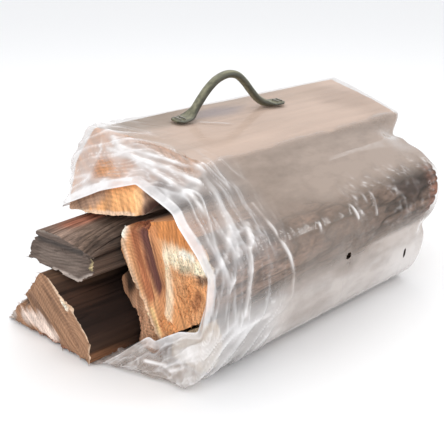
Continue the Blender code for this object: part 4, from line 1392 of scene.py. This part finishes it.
def film_material():
    """Clear glossy film whose alpha follows how milky it is."""
    material, tree, shader = new_material("clear_shrink_film")
    milk, white = read_mark(tree, "milk"), read_mark(tree, "white")
    cloud = stretched_noise(tree, (30, 60, 60), 4, 0.6)
    milky = maths(tree, "MULTIPLY", milk, noise_range(tree, cloud, 0.85, 1.15))
    tree.links.new(mix_colour(tree, white, BEIGE, WHITE), shader.inputs["Base Color"])
    tree.links.new(remap(tree, milky, 0, 1, 0.03, 0.97), shader.inputs["Alpha"])
    shader.inputs["Roughness"].default_value = 0.16
    shader.inputs["IOR"].default_value = 1.55
    shader.inputs["Coat Weight"].default_value = 1.0
    shader.inputs["Coat Roughness"].default_value = 0.08
    wrinkle = stretched_noise(tree, (160, 60, 60), 5, 0.6)
    bump = add(tree, "Bump", {"Height": wrinkle, "Strength": 0.3, "Distance": 0.001})
    tree.links.new(bump.outputs[0], shader.inputs["Normal"])
    return material


film.data.materials.append(film_material())
print("film material set")

# %% [markdown]
# ## The carry handle
#
# The strap is moulded in one piece: a tube along the arch that flattens into two feet. Its centre
# line is a smooth curve through a few heights over the film, and its cross-section is a
# superellipse, |x/a|^(2/p) + |y/b|^(2/p) = 1, whose a, b and p change along the strap.

# %% The route of the strap, as (x, height over the film)
HANDLE_ROUTE = [(123, 1.8), (134, 1.8), (143, 4.0), (151, 10), (160, 20), (171, 31), (184, 40),
                (200, 44.5), (215, 42), (227, 33), (237, 22), (248, 11), (259, 4.5), (270, 2.2),
                (280, 1.8), (290, 1.8)]
HANDLE_Y = (149.5, 140.5)
FILM_TOP = ((45, 193.5), (120, 206), (189, 214))     # y and z of the top face's corners
FILM_OVER = 1.32                            # the film's outside over that face


def smooth_line(points, per_span):
    """A Catmull-Rom curve through the points, with per_span steps from one to the next."""
    points = np.asarray(points, float)
    padded = np.vstack((2 * points[0] - points[1], points, 2 * points[-1] - points[-2]))
    t = (np.arange(per_span) / per_span)[None, :, None]
    a, b, c, d = (padded[k:len(padded) - 3 + k, None] for k in range(4))
    curve = 0.5 * (2 * b + (c - a) * t + (2 * a - 5 * b + 4 * c - d) * t ** 2
                   + (3 * b - a - 3 * c + d) * t ** 3)
    return np.vstack((curve.reshape(-1, points.shape[1]), points[-1:]))


def film_top(y):
    """Height of the film over the top log at a place across it."""
    across, height = np.transpose(FILM_TOP)
    return np.interp(y, across, height) + FILM_OVER


strap_line = smooth_line(HANDLE_ROUTE, 12)
print("the strap rises", round(float(strap_line[:, 1].max()), 1), "mm over the film")

# %% The strap
FOOT_SIZE = (21.0, 2.6)                     # width and thickness
ARCH_SIZE = (11.0, 9.0)
FOOT_LENGTH, TIP_LENGTH, ARCH_BLEND = 17.0, 5.0, 14
FOOT_DISH = 0.22
HANDLE_COLUMNS = 48


def strap_rings(line):
    """Superellipses square to the strap's centre line, and how far to the side each point lies."""
    x, height = line.T
    y = np.interp(x, (x[0], x[-1]), HANDLE_Y)
    centre = np.column_stack((x, y, height + film_top(y)))
    slope = (film_top(HANDLE_Y[0]) - film_top(HANDLE_Y[1])) / (HANDLE_Y[0] - HANDLE_Y[1])
    along = unit(np.gradient(centre, axis=0))
    across = unit(np.cross((0.0, -slope, 1.0), along))
    up = np.cross(along, across)
    from_end = np.minimum(x - x[0], x[-1] - x)
    arch = smooth_step(from_end, FOOT_LENGTH, FOOT_LENGTH + ARCH_BLEND)
    tip = np.sqrt(np.clip(0.35 + 0.65 * from_end / TIP_LENGTH, 0, 1))
    width = (FOOT_SIZE[0] + (ARCH_SIZE[0] - FOOT_SIZE[0]) * arch) * tip
    thick = FOOT_SIZE[1] + (ARCH_SIZE[1] - FOOT_SIZE[1]) * arch
    power = (0.55 + 0.45 * arch)[:, None]
    angle = 2 * math.pi * np.arange(HANDLE_COLUMNS)[None, :] / HANDLE_COLUMNS
    side = np.sign(np.cos(angle)) * np.abs(np.cos(angle)) ** power
    rise = np.sign(np.sin(angle)) * np.abs(np.sin(angle)) ** power
    rise = rise * (1 - FOOT_DISH * (1 - arch[:, None]) * (1 - side ** 2) * (rise > 0))
    rings = (centre[:, None] + side[..., None] * across[:, None] * width[:, None, None] / 2
             + rise[..., None] * up[:, None] * thick[:, None, None] / 2)
    return rings, np.abs(side) * np.ones((len(rings), 1))


def make_handle():
    """The strap as a mesh that is closed at both tips, with a mark for how near an edge is."""
    rings, edge = strap_rings(strap_line)
    rows = len(rings)
    spots = np.vstack((rings.reshape(-1, 3), rings[0].mean(axis=0), rings[-1].mean(axis=0)))
    handle = make_mesh("carry_strap", to_frame(spots), grid_faces(rows, HANDLE_COLUMNS),
                       end_fans(rows, HANDLE_COLUMNS), marks={"edge": np.append(edge, (0, 0))})
    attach(handle, "root")
    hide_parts("carry_handle")
    return handle


handle = make_handle()
print("handle:", len(handle.data.polygons), "faces")

# %% [markdown]
# ## Olive plastic
#
# The strap is satin plastic that flowed along its mould, so its tone is streaked along x. Its two
# edges are darkened with painted shade. The mark on the mesh says where they are.

# %% Strap material
DARK_OLIVE, OLIVE = (0.10, 0.10, 0.06, 1), (0.26, 0.25, 0.16, 1)


def handle_material():
    """Olive plastic, streaked along the strap, with painted shade that darkens its two edges."""
    material, tree, shader = new_material("olive_handle_plastic")
    streak = stretched_noise(tree, (30, 300, 300), 4, 0.6)
    colour = mix_colour(tree, noise_range(tree, streak, 0, 1), DARK_OLIVE, OLIVE)
    # painted shade: the colour darkens towards both edges of the strap
    edge_shade = remap(tree, read_mark(tree, "edge"), 0.55, 0.95, 1.0, 0.3)
    tree.links.new(multiply_colour(tree, colour, edge_shade), shader.inputs["Base Color"])
    tree.links.new(noise_range(tree, streak, 0.34, 0.5), shader.inputs["Roughness"])
    return material


handle.data.materials.append(handle_material())
print("strap material set")

# %% [markdown]
# ## Staples
#
# Wire staples hold the strap's feet to the top log. Their solids in the frame already have the
# bent wire's real shape, so they keep it and only get a finish: drawn steel with faint scratches.

# %% Staples
STEEL = (0.42, 0.40, 0.37, 1)


def staple_material():
    """Drawn steel wire with faint scratches."""
    material, tree, shader = new_material("staple_steel")
    scratch = stretched_noise(tree, (900, 200, 900), 3, 0.6)
    tree.links.new(noise_range(tree, scratch, 0.28, 0.5), shader.inputs["Roughness"])
    shader.inputs["Base Color"].default_value = STEEL
    shader.inputs["Metallic"].default_value = 1.0
    return material


steel = staple_material()
for name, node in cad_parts.items():
    if name.startswith("staple"):
        node.data.materials.clear()
        node.data.materials.append(steel)
print("staples share one steel")

# %% [markdown]
# ## Floor and light
#
# The bundle stands on a plain pale floor under soft studio light: a wide lamp over it, one from
# the open end that lights the sawn faces, and a narrow one at the right that draws bright streaks
# on the film's wrinkles.

# %% Floor
FLOOR_REACH = 6.0
FLOOR_DROP = 0.0002


def add_floor():
    """A large pale plane, a hair below z = 0, that isn't part of the object."""
    corners = np.array(((-1, -1, 0), (1, -1, 0), (1, 1, 0), (-1, 1, 0)), float) * FLOOR_REACH
    floor = make_mesh("floor", corners - (0, 0, FLOOR_DROP), np.array(((0, 1, 2, 3),)))
    material, _, shader = new_material("pale_floor")
    shader.inputs["Base Color"].default_value = (0.93, 0.93, 0.93, 1)
    shader.inputs["Roughness"].default_value = 0.6
    floor.data.materials.append(material)


add_floor()
print("floor:", 2 * FLOOR_REACH, "m across")

# %% Lamps, as (place in frame metres, width, height, watts, colour)
LAMPS = {
    "overhead": ((0.3, 0.5, 1.9), 1.4, 1.4, 9, (1.0, 0.98, 0.96)),
    "open_end": ((-1.6, -0.3, 1.3), 1.0, 1.0, 6, (1.0, 0.98, 0.95)),
    "right_strip": ((0.95, -1.1, 0.8), 0.2, 1.2, 4, (1.0, 1.0, 1.0)),
}
LAMP_AIM = np.array((0.0, 0.0, 0.1))
WORLD_COLOUR, WORLD_STRENGTH = (0.97, 0.98, 1.0, 1), 0.98


def add_lamps():
    """Area lamps that face the bundle, and a pale world."""
    for name, (place, width, height, watts, colour) in LAMPS.items():
        data = bpy.data.lights.new(name, "AREA")
        data.shape = "RECTANGLE"
        data.size, data.size_y = width, height
        data.energy = watts
        data.color = colour
        lamp = bpy.data.objects.new(name, data)
        lamp.location = place
        lamp.rotation_euler = Vector(LAMP_AIM - place).to_track_quat("-Z", "Y").to_euler()
        bpy.context.scene.collection.objects.link(lamp)
    world = bpy.data.worlds.new("studio")
    world.use_nodes = True
    background = world.node_tree.nodes["Background"]
    background.inputs["Color"].default_value = WORLD_COLOUR
    background.inputs["Strength"].default_value = WORLD_STRENGTH
    bpy.context.scene.world = world
    bpy.context.scene.view_settings.view_transform = "Standard"


add_lamps()
print(len(LAMPS), "lamps")
